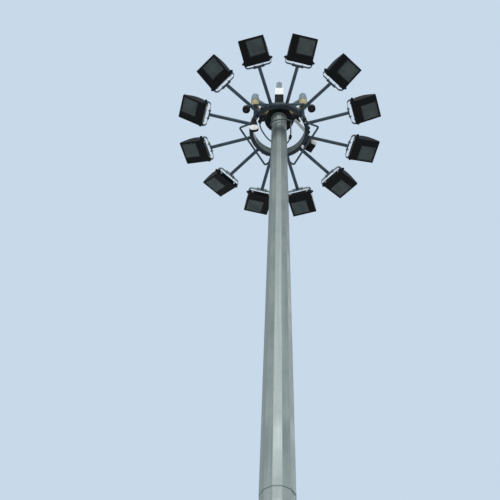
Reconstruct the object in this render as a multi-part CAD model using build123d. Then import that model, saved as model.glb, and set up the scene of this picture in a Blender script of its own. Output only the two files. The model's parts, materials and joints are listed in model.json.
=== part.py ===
from build123d import *
import math
import os

# A 13 m high-mast light pole with a twelve-sided tapered shaft, a fixed head with three docking stations and
# a beacon, and a ring carriage with twelve floodlights that is lowered along the shaft for service.
# Millimetres, +Z up, origin at the middle of the base flange's underside. Azimuths are counted from the
# -Y side towards +X, and a piece is built along +X, with +X outward, before it is turned to its azimuth.

# Shaft
MAST_HEIGHT = 13000.0
SHAFT_SIDES = 12
BASE_FLATS = 390.0
TOP_FLATS = 185.0
LOWER_WALL = 6.0
UPPER_WALL = 5.0
SLIP_CLEARANCE = 0.3
JOINT_HEIGHT = 6700.0
SLIP_OVERLAP = 450.0
FULL_TURN = 360.0
FACET_ANGLE = FULL_TURN / SHAFT_SIDES
TAPER = (BASE_FLATS + 2 * (UPPER_WALL + SLIP_CLEARANCE) - TOP_FLATS) / MAST_HEIGHT
TAPER_ANGLE = math.degrees(math.atan(TAPER / 2))

# Base
FLANGE_DIAMETER = 600.0
FLANGE_THICKNESS = 25.0
CABLE_ENTRY_DIAMETER = 180.0
ANCHOR_CIRCLE = 500.0
ANCHOR_HOLE_DIAMETER = 33.0
GUSSET_HEIGHT = 170.0
GUSSET_REACH = 85.0
GUSSET_THICKNESS = 10.0
GUSSET_LIP = 25.0

# Service door
DOOR_SILL = 700.0
DOOR_HEIGHT = 800.0
DOOR_WIDTH = 180.0
DOOR_CORNER = 35.0
DOOR_GAP = 2.0
FRAME_BAR = 10.0
FRAME_PROUD = 3.0
FRAME_DEPTH = 40.0
STOP_WIDTH = 12.0
STOP_THICKNESS = 5.0

# Head on top of the shaft
HEAD_PLATE_RADIUS = 190.0
HEAD_PLATE_THICKNESS = 15.0
HUB_RADIUS = 105.0
HUB_WALL = 6.0
HUB_FLANGE_RADIUS = 150.0
HUB_FLANGE_THICKNESS = 12.0
HUB_SHOULDER_HEIGHT = 215.0
HUB_TOP_HEIGHT = 270.0
HUB_TOP_RADIUS = 84.0

# Carriage ring, a rolled rectangular tube
RING_DROP = 300.0
RING_OUTER_RADIUS = 375.0
RING_WIDTH = 40.0
RING_HEIGHT = 80.0
RING_WALL = 3.0
RING_CORNER = 6.0
RING_SEGMENTS = 3
FIRST_SPLICE_AZIMUTH = -30.0
SPLICE_THICKNESS = 10.0
SPLICE_LIP = 26.0
WELD_GAP = 0.2
RING_MID_RADIUS = RING_OUTER_RADIUS - RING_WIDTH / 2
RING_Z = MAST_HEIGHT - RING_DROP
RING_TOP = RING_Z + RING_HEIGHT / 2
RING_BOTTOM = RING_Z - RING_HEIGHT / 2

# Docking stations between head and ring
STATIONS = 3
FIRST_STATION_AZIMUTH = 60.0
RIGHT_STATION_AZIMUTH = FIRST_STATION_AZIMUTH
LEFT_STATION_AZIMUTH = FIRST_STATION_AZIMUTH - FULL_TURN / STATIONS
DOCK_RADIUS = 50.0
DOCK_BORE_RADIUS = 22.0
DOCK_RISE = 10.0
DOCK_BODY_HEIGHT = 125.0
DOCK_COLLAR_HEIGHT = 100.0
DOCK_COLLAR_LIP = 4.0
DOCK_DOME_HEIGHT = 100.0
DOCK_DOME_WALL = 4.0
DOCK_ARM_RADIUS_AT_HUB = 16.0
DOCK_ARM_RADIUS_AT_DOCK = 40.0
DOCK_BOTTOM = MAST_HEIGHT + DOCK_RISE
DOCK_BODY_TOP = DOCK_BOTTOM + DOCK_BODY_HEIGHT
DOCK_COLLAR_TOP = DOCK_BODY_TOP + DOCK_COLLAR_HEIGHT
FORK_PLATE = 10.0
FORK_WIDTH = 60.0
FORK_TOP_REACH = 36.0
FORK_SPREAD = 119.0
FORK_FOOT_WIDTH = 200.0
FORK_FOOT_LENGTH = 50.0
BUFFER_RADIUS = 49.0
BUFFER_HEIGHT = 40.0
BUFFER_RISE = 105.0
BUFFER_BOTTOM = RING_Z + BUFFER_RISE
FORK_FOOT_BOTTOM = BUFFER_BOTTOM + BUFFER_HEIGHT
PIN_RADIUS = 15.0
PIN_NOSE_RADIUS = 7.0
PIN_NOSE = 25.0
PIN_ENGAGEMENT = 90.0
PIN_COLLAR_RADIUS = 30.0
PIN_COLLAR_HEIGHT = 20.0
PIN_SEAT_GAP = 0.3

# Beacon on top of the hub
BEACON_WIDTH = 117.0
BEACON_BASE_HEIGHT = 331.0
BEACON_RIBS = 9
BEACON_RIB_DEPTH = 6.0
BEACON_COLLAR_HEIGHT = 196.0
BEACON_COLLAR_CHAMFER = 5.0
BEACON_DOME_RADIUS = 42.0
BEACON_DOME_HEIGHT = 252.0
BEACON_DOME_WALL = 4.0
BEACON_FOOT = MAST_HEIGHT + HEAD_PLATE_THICKNESS + HUB_TOP_HEIGHT

# Lamp arms
LAMPS = 12
LAMPS_PER_SEGMENT = LAMPS // RING_SEGMENTS
LAMP_ANGLE = FULL_TURN / LAMPS
FIRST_LAMP_AZIMUTH = -15.0
ARM_RADIUS = 21.2
ARM_WALL = 3.0
ARM_END_RADIUS = 906.0
END_PLATE_THICKNESS = 8.0
END_PLATE_WIDTH = 145.0
END_PLATE_HEIGHT = 60.0

# Lamp yokes, flat bar bent to a U
YOKE_BAR = 5.0
YOKE_BAR_HEIGHT = 40.0
YOKE_WIDTH = 337.0
YOKE_BEND = 45.0
YOKE_TIP = 26.0
PIVOT_REACH = 74.0
PIVOT_RADIUS = 6.0
PIVOT_CLEARANCE = 0.05
PIVOT_BOSS_RADIUS = 18.0
PIVOT_CAP_RADIUS = 17.0
PIVOT_CAP_HEIGHT = 12.0
SIDE_CLEARANCE = 0.3
PIVOT_AZIMUTH_RADIUS = ARM_END_RADIUS + PIVOT_REACH

# Floodlights
FLOOD_WIDTH = 315.0
FLOOD_LENGTH = 323.0
FLOOD_FACE_DROP = 50.0
FLOOD_INNER_REACH = 31.0
FLOOD_INNER_DEPTH = 66.0
FLOOD_CROWN_DEPTH = 100.0
FLOOD_BACK_DEPTH = 76.0
FLOOD_RIM_DEPTH = 25.0
FLOOD_CROWN_SHARE = 0.34
FLOOD_BACK_SHARE = 0.72
FLOOD_WALL = 6.0
FLOOD_EDGE = 7.0
GLASS_WIDTH = 202.0
GLASS_LENGTH = 193.0
GLASS_THICKNESS = 4.0
GLASS_MARGIN = 22.0
GLASS_LEDGE = 6.0
GLASS_CLEARANCE = 0.3
# Each lamp is aimed by itself: how far its outer edge is tilted up, in degrees, in the order of the lamps
LAMP_TILTS = [12, 20, 16, 9, 8, 8, 2, 12, 21, 13, 22, 25]

# Guard bars below the ring
GUARD_BARS = 3
FIRST_GUARD_AZIMUTH = 0.0
GUARD_RADIUS = 12.5
GUARD_WALL = 2.5
GUARD_CORNER_RADIUS = 500.0
GUARD_CORNER_ANGLE = 38.5
GUARD_END_ANGLE = 54.0
GUARD_BEND = 18.0
GUARD_DROP = 62.0
GUARD_LUG = 28.0

# Socket below the ring: a flat neck and a drum that faces the -Y side, with a white disc on its front
SOCKET_AZIMUTH = -60.0
SOCKET_DROP = 250.0
SOCKET_NECK_WIDTH = 40.0
SOCKET_NECK_THICKNESS = 24.0
SOCKET_DRUM_RADIUS = 58.0
SOCKET_DRUM_LENGTH = 30.0
SOCKET_FLANGE_RADIUS = 61.0
SOCKET_FLANGE_HEIGHT = 12.0
SOCKET_FLANGE_CHAMFER = 3.0

# Junction box on the outside of the ring
BOX_AZIMUTH = 121.0
BOX_WIDTH = 112.0
BOX_DEPTH = 115.0
BOX_HEIGHT = 120.0
BOX_STANDOFF = 14.0
BOX_FOOT_WIDTH = 60.0
BOX_RIBS = 6
BOX_RIB_DEPTH = 6.0
BOX_RISE = 20.0
BOX_COVER_THICKNESS = 34.0
BOX_COVER_LENGTH = 66.0
BOX_COVER_HEIGHT = 76.0
BOX_COVER_CHAMFER = 4.0

# Cables at the head, each from a clamp block to another, with the points between them chosen by hand
CABLE_RADIUS = 9.0
CLAMP_LENGTH = 30.0
CLAMP_HEIGHT = 26.0
CLAMP_TAB_OFFSET = 78.0
MAST_CLAMP_RISE = 55.0
PLATE_CLAMP_AZIMUTH = 100.0
PLATE_CLAMP_RADIUS = 150.0
BEND_SHARE = 0.45
SUPPLY_CABLE_EXIT = 95.0
SUPPLY_CABLE_ROUTE = [
    (-204, -21, 12610), (-134, 54, 12555), (0, 134, 12515),
    (102, 102, 12530), (145, 66, 12640), (148, 34, 12770),
]
HEAD_CABLE_EXIT = 45.0
HEAD_CABLE_ROUTE = [(-85, -99, 12748), (-46, -121, 12745), (22, -121, 12765), (88, -102, 12806)]

# One overrun for every cut
OVERRUN = 5.0


def facing(azimuth):
    """Turn of a piece that was built along +X to its azimuth."""
    return Rot(0, 0, azimuth - FULL_TURN / 4)


def outward(azimuth, radius, height):
    """Point at an azimuth, a radius from the mast's axis and a height."""
    turn = math.radians(azimuth)
    return Vector(radius * math.sin(turn), -radius * math.cos(turn), height)


def spread(first, count):
    """Azimuths of count pieces evenly spaced round the mast."""
    return [first + number * FULL_TURN / count for number in range(count)]


def lower_flats(height):
    """Width across flats of the lower shaft at a height."""
    return BASE_FLATS - TAPER * height


def upper_flats(height):
    """Width across flats of the upper shaft, which slips over the lower one."""
    return lower_flats(height) + 2 * (UPPER_WALL + SLIP_CLEARANCE)


def tapered_prism(flats_at, growth, low, high):
    """Twelve-sided prism with the mast's taper, wider than the shaft by growth on every side."""
    outline = RegularPolygon(
        flats_at(low) / 2 + growth, SHAFT_SIDES, major_radius=False, rotation=FACET_ANGLE / 2
    )
    return Pos(0, 0, low) * extrude(outline, amount=high - low, taper=TAPER_ANGLE)


def revolved(points):
    """Solid of revolution about the Z axis from an outline of (radius, height) points."""
    return revolve(Plane.XZ * make_face(Polyline(*points, close=True)), axis=Axis.Z)


def base_flange():
    plate = Cylinder(FLANGE_DIAMETER / 2, FLANGE_THICKNESS, align=(Align.CENTER, Align.CENTER, Align.MIN))
    plate -= Cylinder(CABLE_ENTRY_DIAMETER / 2, 2 * FLANGE_THICKNESS + OVERRUN)
    hole = Cylinder(ANCHOR_HOLE_DIAMETER / 2, 2 * FLANGE_THICKNESS + OVERRUN)
    for azimuth in spread(FACET_ANGLE / 2, SHAFT_SIDES):
        plate -= Pos(*outward(azimuth, ANCHOR_CIRCLE / 2, 0)) * hole
    return plate


def base_gussets():
    low = FLANGE_THICKNESS
    high = low + GUSSET_HEIGHT
    foot = lower_flats(low) / 2
    head = lower_flats(high) / 2
    outline = Polyline(
        (foot, low), (foot + GUSSET_REACH, low), (foot + GUSSET_REACH, low + GUSSET_LIP),
        (head + GUSSET_LIP, high), (head, high), close=True,
    )
    gusset = extrude(Plane.XZ * make_face(outline), amount=GUSSET_THICKNESS / 2, both=True)
    return Compound([facing(azimuth) * gusset for azimuth in spread(0, SHAFT_SIDES)])


def door_prism(width, height, corner):
    """Rounded block through the front wall, centred on the service door."""
    outline = RectangleRounded(width, height, corner)
    middle = DOOR_SILL + DOOR_HEIGHT / 2
    return extrude(Pos(0, 0, middle) * (Plane.XZ * outline), amount=BASE_FLATS)


def door_band(growth_out, growth_in):
    """Faceted shell of the shaft's form beside the service door."""
    low = DOOR_SILL - FRAME_DEPTH
    high = DOOR_SILL + DOOR_HEIGHT + FRAME_DEPTH
    outer = tapered_prism(lower_flats, growth_out, low, high)
    return outer - tapered_prism(lower_flats, growth_in, low - OVERRUN, high + OVERRUN)


def door_opening():
    """What the doorway takes out of the shaft's wall."""
    return door_prism(DOOR_WIDTH + 2 * FRAME_BAR, DOOR_HEIGHT + 2 * FRAME_BAR, DOOR_CORNER + FRAME_BAR)


def mast_lower():
    low = FLANGE_THICKNESS
    high = JOINT_HEIGHT + SLIP_OVERLAP
    shaft = tapered_prism(lower_flats, 0, low, high)
    shaft -= tapered_prism(lower_flats, -LOWER_WALL, low - OVERRUN, high + OVERRUN)
    return shaft - door_opening()


def mast_upper():
    shaft = tapered_prism(upper_flats, 0, JOINT_HEIGHT, MAST_HEIGHT)
    return shaft - tapered_prism(upper_flats, -UPPER_WALL, JOINT_HEIGHT - OVERRUN, MAST_HEIGHT + OVERRUN)


def door_frame():
    clear = door_prism(DOOR_WIDTH, DOOR_HEIGHT, DOOR_CORNER)
    frame = door_band(FRAME_PROUD, -FRAME_DEPTH) & (door_opening() - clear)
    stop_hole = door_prism(
        DOOR_WIDTH - 2 * STOP_WIDTH, DOOR_HEIGHT - 2 * STOP_WIDTH, DOOR_CORNER - STOP_WIDTH
    )
    stop = door_band(-LOWER_WALL, -LOWER_WALL - STOP_THICKNESS) & (clear - stop_hole)
    return frame + stop


def service_door():
    leaf = door_prism(DOOR_WIDTH - 2 * DOOR_GAP, DOOR_HEIGHT - 2 * DOOR_GAP, DOOR_CORNER - DOOR_GAP)
    return door_band(0, -LOWER_WALL) & leaf


def head_plate():
    plate = Cylinder(HEAD_PLATE_RADIUS, HEAD_PLATE_THICKNESS, align=(Align.CENTER, Align.CENTER, Align.MIN))
    return Pos(0, 0, MAST_HEIGHT) * plate


def head_hub():
    wall = HUB_WALL
    hub = revolved([
        (HUB_RADIUS - wall, 0), (HUB_FLANGE_RADIUS, 0), (HUB_FLANGE_RADIUS, HUB_FLANGE_THICKNESS),
        (HUB_RADIUS, HUB_FLANGE_THICKNESS), (HUB_RADIUS, HUB_SHOULDER_HEIGHT),
        (HUB_TOP_RADIUS, HUB_TOP_HEIGHT), (0, HUB_TOP_HEIGHT),
        (0, HUB_TOP_HEIGHT - wall), (HUB_TOP_RADIUS - wall, HUB_TOP_HEIGHT - wall),
        (HUB_RADIUS - wall, HUB_SHOULDER_HEIGHT),
    ])
    return Pos(0, 0, MAST_HEIGHT + HEAD_PLATE_THICKNESS) * hub


def at_stations(piece):
    """One copy of a piece, built about the station's own axis, at every docking station."""
    placed = Pos(RING_MID_RADIUS, 0, 0) * piece
    return Compound([facing(azimuth) * placed for azimuth in spread(FIRST_STATION_AZIMUTH, STATIONS)])


def dock_arms():
    collar = Cylinder(
        DOCK_RADIUS + DOCK_COLLAR_LIP, DOCK_COLLAR_HEIGHT, align=(Align.CENTER, Align.CENTER, Align.MIN)
    )
    collar = Pos(0, 0, DOCK_BODY_TOP) * collar
    reach = RING_MID_RADIUS - HUB_RADIUS
    arm = Cone(
        DOCK_ARM_RADIUS_AT_HUB, DOCK_ARM_RADIUS_AT_DOCK, RING_MID_RADIUS,
        align=(Align.CENTER, Align.CENTER, Align.MIN),
    )
    level = DOCK_BODY_TOP + DOCK_COLLAR_HEIGHT / 2
    arm = Pos(-RING_MID_RADIUS, 0, level) * (Rot(0, FULL_TURN / 4, 0) * arm)
    hub = Pos(-RING_MID_RADIUS, 0, level) * Cylinder(HUB_RADIUS + WELD_GAP, 2 * reach)
    return at_stations(collar + (arm - hub))


def dock_cylinders():
    body = Cylinder(DOCK_RADIUS, DOCK_BODY_HEIGHT, align=(Align.CENTER, Align.CENTER, Align.MIN))
    depth = DOCK_BODY_HEIGHT - DOCK_BORE_RADIUS
    bore = Cylinder(DOCK_BORE_RADIUS, 2 * depth)
    return at_stations(Pos(0, 0, DOCK_BOTTOM) * (body - bore))


def domed_shell(radius, height, wall):
    """Half sphere on a straight skirt, open below."""
    skirt = height - radius
    inner = radius - wall
    outline = Line((inner, 0), (radius, 0)) + Line((radius, 0), (radius, skirt))
    outline += CenterArc((0, skirt), radius, 0, FULL_TURN / 4) + Line((0, height), (0, height - wall))
    outline += CenterArc((0, skirt), inner, 0, FULL_TURN / 4) + Line((inner, skirt), (inner, 0))
    return revolve(Plane.XZ * make_face(outline), axis=Axis.Z)


def dock_domes():
    dome = domed_shell(DOCK_RADIUS, DOCK_DOME_HEIGHT, DOCK_DOME_WALL)
    return at_stations(Pos(0, 0, DOCK_COLLAR_TOP) * dome)


def dock_forks():
    top = DOCK_BOTTOM - FORK_PLATE
    foot = FORK_FOOT_BOTTOM + FORK_PLATE
    washer = Cylinder(DOCK_RADIUS, FORK_PLATE) - Cylinder(DOCK_BORE_RADIUS, FORK_PLATE + OVERRUN)
    fork = Pos(0, 0, DOCK_BOTTOM - FORK_PLATE / 2) * washer
    knee = FORK_SPREAD - FORK_FOOT_LENGTH / 2
    outline = Polyline(
        (FORK_TOP_REACH, top), (FORK_TOP_REACH + FORK_PLATE, top), (knee + FORK_PLATE, foot),
        (FORK_SPREAD + FORK_FOOT_LENGTH / 2, foot), (FORK_SPREAD + FORK_FOOT_LENGTH / 2, FORK_FOOT_BOTTOM),
        (knee, FORK_FOOT_BOTTOM), close=True,
    )
    leg = extrude(Plane.XZ * make_face(outline), amount=FORK_WIDTH / 2, both=True)
    bar = Pos(-FORK_SPREAD, 0, FORK_FOOT_BOTTOM + FORK_PLATE / 2) * Box(
        FORK_FOOT_LENGTH, FORK_FOOT_WIDTH, FORK_PLATE
    )
    return at_stations(fork + leg + leg.mirror(Plane.YZ) + bar)


def dock_buffers():
    buffer = Cylinder(BUFFER_RADIUS, BUFFER_HEIGHT, align=(Align.CENTER, Align.CENTER, Align.MIN))
    pair = [Pos(side * FORK_SPREAD, 0, BUFFER_BOTTOM) * buffer for side in (-1, 1)]
    return at_stations(Compound(pair))


def docking_pins():
    """Pins on the ring that enter the docking cylinders, with a collar that seats under each fork."""
    seat = DOCK_BOTTOM - FORK_PLATE - PIN_SEAT_GAP
    shoulder = DOCK_BOTTOM + PIN_ENGAGEMENT - PIN_NOSE
    pin = revolved([
        (0, RING_TOP), (PIN_RADIUS, RING_TOP), (PIN_RADIUS, seat - PIN_COLLAR_HEIGHT),
        (PIN_COLLAR_RADIUS, seat - PIN_COLLAR_HEIGHT), (PIN_COLLAR_RADIUS, seat), (PIN_RADIUS, seat),
        (PIN_RADIUS, shoulder), (PIN_NOSE_RADIUS, shoulder + PIN_NOSE), (0, shoulder + PIN_NOSE),
    ])
    return at_stations(pin)


def beacon_base():
    pitch = BEACON_BASE_HEIGHT / BEACON_RIBS
    root = BEACON_WIDTH - 2 * BEACON_RIB_DEPTH
    groove = Box(2 * BEACON_WIDTH, 2 * BEACON_WIDTH, pitch / 2) - Box(root, root, pitch)
    body = Box(BEACON_WIDTH, BEACON_WIDTH, BEACON_BASE_HEIGHT, align=(Align.CENTER, Align.CENTER, Align.MIN))
    for rib in range(BEACON_RIBS):
        body -= Pos(0, 0, (rib + 1) * pitch - pitch / 4) * groove
    return Pos(0, 0, BEACON_FOOT) * body


def beacon_collar():
    bottom_up = (Align.CENTER, Align.CENTER, Align.MIN)
    collar = Box(BEACON_WIDTH, BEACON_WIDTH, BEACON_COLLAR_HEIGHT, align=bottom_up)
    collar = chamfer(collar.edges(), BEACON_COLLAR_CHAMFER)
    return Pos(0, 0, BEACON_FOOT + BEACON_BASE_HEIGHT) * collar


def beacon_dome():
    dome = domed_shell(BEACON_DOME_RADIUS, BEACON_DOME_HEIGHT, BEACON_DOME_WALL)
    return Pos(0, 0, BEACON_FOOT + BEACON_BASE_HEIGHT + BEACON_COLLAR_HEIGHT) * dome


def ring_segment(start):
    """Third of the carriage ring, a rolled rectangular tube with a bolting flange at each end."""
    arc = FULL_TURN / RING_SEGMENTS
    outer = RectangleRounded(RING_WIDTH, RING_HEIGHT, RING_CORNER)
    inner = RectangleRounded(RING_WIDTH - 2 * RING_WALL, RING_HEIGHT - 2 * RING_WALL, RING_CORNER - RING_WALL)
    section = Pos(RING_MID_RADIUS, 0, RING_Z) * (Plane.XZ * (outer - inner))
    tube = facing(start) * revolve(section, axis=Axis.Z, revolution_arc=arc)
    flange = Pos(RING_MID_RADIUS, 0, RING_Z) * Box(
        RING_WIDTH + 2 * SPLICE_LIP, SPLICE_THICKNESS, RING_HEIGHT + 2 * SPLICE_LIP
    )
    first = facing(start) * (Pos(0, SPLICE_THICKNESS / 2, 0) * flange)
    last = facing(start + arc) * (Pos(0, -SPLICE_THICKNESS / 2, 0) * flange)
    return tube + first + last


def lamp_arm():
    """Tube from the ring's outer wall to the plate that carries a yoke."""
    plate_start = ARM_END_RADIUS - END_PLATE_THICKNESS
    tube = Cylinder(ARM_RADIUS, plate_start, align=(Align.CENTER, Align.CENTER, Align.MIN))
    tube -= Cylinder(ARM_RADIUS - ARM_WALL, 2 * plate_start + OVERRUN)
    tube = Rot(0, FULL_TURN / 4, 0) * tube
    tube -= Cylinder(RING_OUTER_RADIUS + WELD_GAP, RING_HEIGHT)
    plate = Pos(plate_start + END_PLATE_THICKNESS / 2, 0, 0) * Box(
        END_PLATE_THICKNESS, END_PLATE_WIDTH, END_PLATE_HEIGHT
    )
    plate = chamfer(plate.edges().filter_by(Axis.X), END_PLATE_THICKNESS)
    return Pos(0, 0, RING_Z) * (tube + plate)


def lamp_yoke():
    """Flat bar bent round a floodlight, with a hole for its pivot in each end."""
    tip = PIVOT_AZIMUTH_RADIUS + YOKE_TIP

    def slab(back, half_width, bend, height):
        corner = (back, half_width)
        outline = Polyline((tip, -half_width), (back, -half_width), corner, (tip, half_width), close=True)
        block = extrude(make_face(outline), amount=height / 2, both=True)
        bends = block.edges().filter_by(Axis.Z).sort_by(Axis.X)[:2]
        return fillet(bends, bend)

    bar = slab(ARM_END_RADIUS, YOKE_WIDTH / 2, YOKE_BEND, YOKE_BAR_HEIGHT)
    inside = slab(
        ARM_END_RADIUS + YOKE_BAR, YOKE_WIDTH / 2 - YOKE_BAR, YOKE_BEND - YOKE_BAR, YOKE_BAR_HEIGHT + OVERRUN
    )
    yoke = bar - inside
    corners = yoke.edges().filter_by(Axis.Y).group_by(Axis.X)[-1]
    yoke = fillet(corners, YOKE_BAR_HEIGHT / 3)
    hole = Rot(FULL_TURN / 4, 0, 0) * Cylinder(PIVOT_RADIUS + PIVOT_CLEARANCE, 2 * YOKE_WIDTH)
    return Pos(0, 0, RING_Z) * (yoke - Pos(PIVOT_AZIMUTH_RADIUS, 0, 0) * hole)


def lamp_azimuths(segment):
    """Azimuths of the lamps that one ring segment carries."""
    first = FIRST_LAMP_AZIMUTH + segment * LAMPS_PER_SEGMENT * LAMP_ANGLE
    return [first + number * LAMP_ANGLE for number in range(LAMPS_PER_SEGMENT)]


def flood_outline():
    """Side outline of a floodlight about its pivot: a steep inner wall, a round back and a thin outer rim."""
    face = -FLOOD_FACE_DROP
    inner = -FLOOD_INNER_REACH
    outer = inner + FLOOD_LENGTH
    shoulder = (inner, face + FLOOD_INNER_DEPTH)
    crown = (inner + FLOOD_CROWN_SHARE * FLOOD_LENGTH, face + FLOOD_CROWN_DEPTH)
    back = (inner + FLOOD_BACK_SHARE * FLOOD_LENGTH, face + FLOOD_BACK_DEPTH)
    straight = Polyline(back, (outer, face + FLOOD_RIM_DEPTH), (outer, face), (inner, face), shoulder)
    return make_face(straight + ThreePointArc(shoulder, crown, back))


def glass_pane(growth, bottom, thickness):
    """Block of the window's outline in a floodlight's face, wider by growth on every side."""
    length = GLASS_LENGTH + 2 * growth
    width = GLASS_WIDTH + 2 * growth
    middle_x = FLOOD_LENGTH - FLOOD_INNER_REACH - GLASS_MARGIN - GLASS_LENGTH / 2
    middle_y = FLOOD_WIDTH / 2 - GLASS_MARGIN - GLASS_WIDTH / 2
    pane = Box(length, width, thickness, align=(Align.CENTER, Align.CENTER, Align.MIN))
    return Pos(middle_x, middle_y, bottom) * pane


def in_yoke(piece, tilt):
    """Place of a floodlight's piece, built about its pivot, in a yoke along +X and tilted up by tilt."""
    return Pos(PIVOT_AZIMUTH_RADIUS, 0, RING_Z) * (Rot(0, -tilt, 0) * piece)


def flood_housing():
    outline = Plane.XZ * flood_outline()
    body = extrude(outline, amount=FLOOD_WIDTH / 2, both=True)
    face_level = -FLOOD_FACE_DROP
    edges = [edge for edge in body.edges() if edge.center().Z > face_level + FLOOD_RIM_DEPTH / 3]
    body = fillet([edge for edge in edges if abs(edge.center().Y) > FLOOD_WIDTH / 3], FLOOD_EDGE)
    cavity = extrude(offset(outline, amount=-FLOOD_WALL, kind=Kind.INTERSECTION),
                     amount=FLOOD_WIDTH / 2 - FLOOD_WALL, both=True)
    body -= cavity
    body -= glass_pane(GLASS_CLEARANCE, face_level - OVERRUN, GLASS_THICKNESS + OVERRUN)
    body -= glass_pane(-GLASS_LEDGE, face_level - OVERRUN, 2 * FLOOD_WALL + OVERRUN)
    inside = YOKE_WIDTH / 2 - YOKE_BAR
    for side in (-1, 1):
        turn = Rot(-side * FULL_TURN / 4, 0, 0)
        boss_height = inside - SIDE_CLEARANCE - FLOOD_WIDTH / 2
        boss = Cylinder(PIVOT_BOSS_RADIUS, boss_height, align=(Align.CENTER, Align.CENTER, Align.MIN))
        pin_height = YOKE_WIDTH / 2 + SIDE_CLEARANCE - FLOOD_WIDTH / 2
        pin = Cylinder(PIVOT_RADIUS, pin_height, align=(Align.CENTER, Align.CENTER, Align.MIN))
        cap = Cylinder(PIVOT_CAP_RADIUS, PIVOT_CAP_HEIGHT, align=(Align.CENTER, Align.CENTER, Align.MIN))
        cap = Pos(0, 0, pin_height) * cap
        body += Pos(0, side * FLOOD_WIDTH / 2, 0) * (turn * (boss + pin + cap))
    return body


def flood_glass():
    return glass_pane(0, -FLOOD_FACE_DROP, GLASS_THICKNESS)


def guard_bars():
    """Bent tubes that run just outside and below the ring, each on two lugs under it."""
    level = RING_Z - GUARD_DROP

    def bar(middle):
        points = []
        for side in (-1, 1):
            end = outward(middle + side * GUARD_END_ANGLE, RING_MID_RADIUS, level)
            corner = outward(middle + side * GUARD_CORNER_ANGLE, GUARD_CORNER_RADIUS, level)
            points.append([end, corner])
        path = FilletPolyline(points[0][0], points[0][1], points[1][1], points[1][0], radius=GUARD_BEND)
        section = Circle(GUARD_RADIUS) - Circle(GUARD_RADIUS - GUARD_WALL)
        tube = sweep(Plane(origin=path @ 0, z_dir=path % 0) * section, path=path)
        top = RING_BOTTOM
        bottom = level - GUARD_RADIUS
        lug = Box(GUARD_LUG, GUARD_LUG, top - bottom, align=(Align.CENTER, Align.CENTER, Align.MIN))
        for side in (-1, 1):
            azimuth = middle + side * GUARD_END_ANGLE
            tube += facing(azimuth) * (Pos(RING_MID_RADIUS, 0, bottom) * lug)
        return tube

    return Compound([bar(azimuth) for azimuth in spread(FIRST_GUARD_AZIMUTH, GUARD_BARS)])


def socket_place(piece):
    """Place of the socket's pieces, built about the middle of its drum, which faces the -Y side."""
    return Pos(*outward(SOCKET_AZIMUTH, RING_MID_RADIUS, RING_BOTTOM - SOCKET_DROP)) * piece


def cable_socket():
    half = SOCKET_NECK_WIDTH / 2
    outline = Polyline(
        (-half, SOCKET_DROP), (half, SOCKET_DROP),
        (SOCKET_DRUM_RADIUS, 0), (-SOCKET_DRUM_RADIUS, 0), close=True,
    )
    neck = extrude(Plane.XZ * make_face(outline), amount=SOCKET_NECK_THICKNESS / 2, both=True)
    drum = Rot(FULL_TURN / 4, 0, 0) * Cylinder(SOCKET_DRUM_RADIUS, SOCKET_DRUM_LENGTH)
    return socket_place(neck + drum)


def socket_flange():
    flange = Cylinder(SOCKET_FLANGE_RADIUS, SOCKET_FLANGE_HEIGHT)
    flange = chamfer(flange.edges().filter_by(GeomType.CIRCLE), SOCKET_FLANGE_CHAMFER)
    front = SOCKET_DRUM_LENGTH / 2 + SOCKET_FLANGE_HEIGHT / 2
    return socket_place(Pos(0, -front, 0) * (Rot(FULL_TURN / 4, 0, 0) * flange))


def box_place(piece):
    """Place of the junction box's pieces, built about the middle of its back."""
    return facing(BOX_AZIMUTH) * (Pos(RING_OUTER_RADIUS + BOX_STANDOFF, 0, RING_Z + BOX_RISE) * piece)


def junction_box():
    body = Box(BOX_DEPTH, BOX_WIDTH, BOX_HEIGHT, align=(Align.MIN, Align.CENTER, Align.CENTER))
    pitch = BOX_WIDTH / BOX_RIBS
    groove = Box(BOX_RIB_DEPTH, pitch / 2, BOX_HEIGHT + OVERRUN)
    for rib in range(BOX_RIBS - 1):
        offset_y = (rib + 1) * pitch - BOX_WIDTH / 2
        body -= Pos(BOX_DEPTH - BOX_RIB_DEPTH / 2, offset_y, 0) * groove
    body += Pos(0, 0, -BOX_RISE) * Box(2 * BOX_STANDOFF, BOX_FOOT_WIDTH, RING_HEIGHT / 2)
    ring = Cylinder(RING_OUTER_RADIUS + WELD_GAP, 2 * BOX_HEIGHT)
    return box_place(body - Pos(-RING_OUTER_RADIUS - BOX_STANDOFF, 0, 0) * ring)


def box_cover():
    """Cover on the side of the box that faces -Y, flush with the box's outer end."""
    cover = Box(
        BOX_COVER_LENGTH, BOX_COVER_THICKNESS, BOX_COVER_HEIGHT, align=(Align.MAX, Align.MAX, Align.CENTER)
    )
    front = cover.faces().sort_by(Axis.Y)[0]
    cover = chamfer(front.edges(), BOX_COVER_CHAMFER)
    return box_place(Pos(BOX_DEPTH, -BOX_WIDTH / 2, 0) * cover)


def cable_tube(points):
    """Round cable along straight runs joined by the largest arcs that they leave room for."""
    route = [Vector(*point) for point in points]
    radii = []
    for before, corner, after in zip(route, route[1:], route[2:]):
        first = corner - before
        second = after - corner
        turn = math.radians(first.get_angle(second))
        radii.append(BEND_SHARE * min(first.length, second.length) / math.tan(turn / 2))
    print("cable bend radii", [round(radius) for radius in radii])
    path = FilletPolyline(*route, radius=radii)
    tube = sweep(Plane(origin=path @ 0, z_dir=path % 0) * Circle(CABLE_RADIUS), path=path)
    plain = path.length * math.pi * CABLE_RADIUS ** 2
    share = tube.volume / plain
    print("cable length", round(path.length), "volume over section times length", round(share, 4))
    print("cable route", [tuple(round(value, 1) for value in point) for point in route])
    return tube


def tab_clamp(azimuth, side):
    """Middle of the clamp block under the wide inner foot of the fork at an azimuth."""
    level = FORK_FOOT_BOTTOM - CLAMP_HEIGHT / 2
    return (facing(azimuth) * Pos(RING_MID_RADIUS - FORK_SPREAD, side * CLAMP_TAB_OFFSET, level)).position


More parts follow.
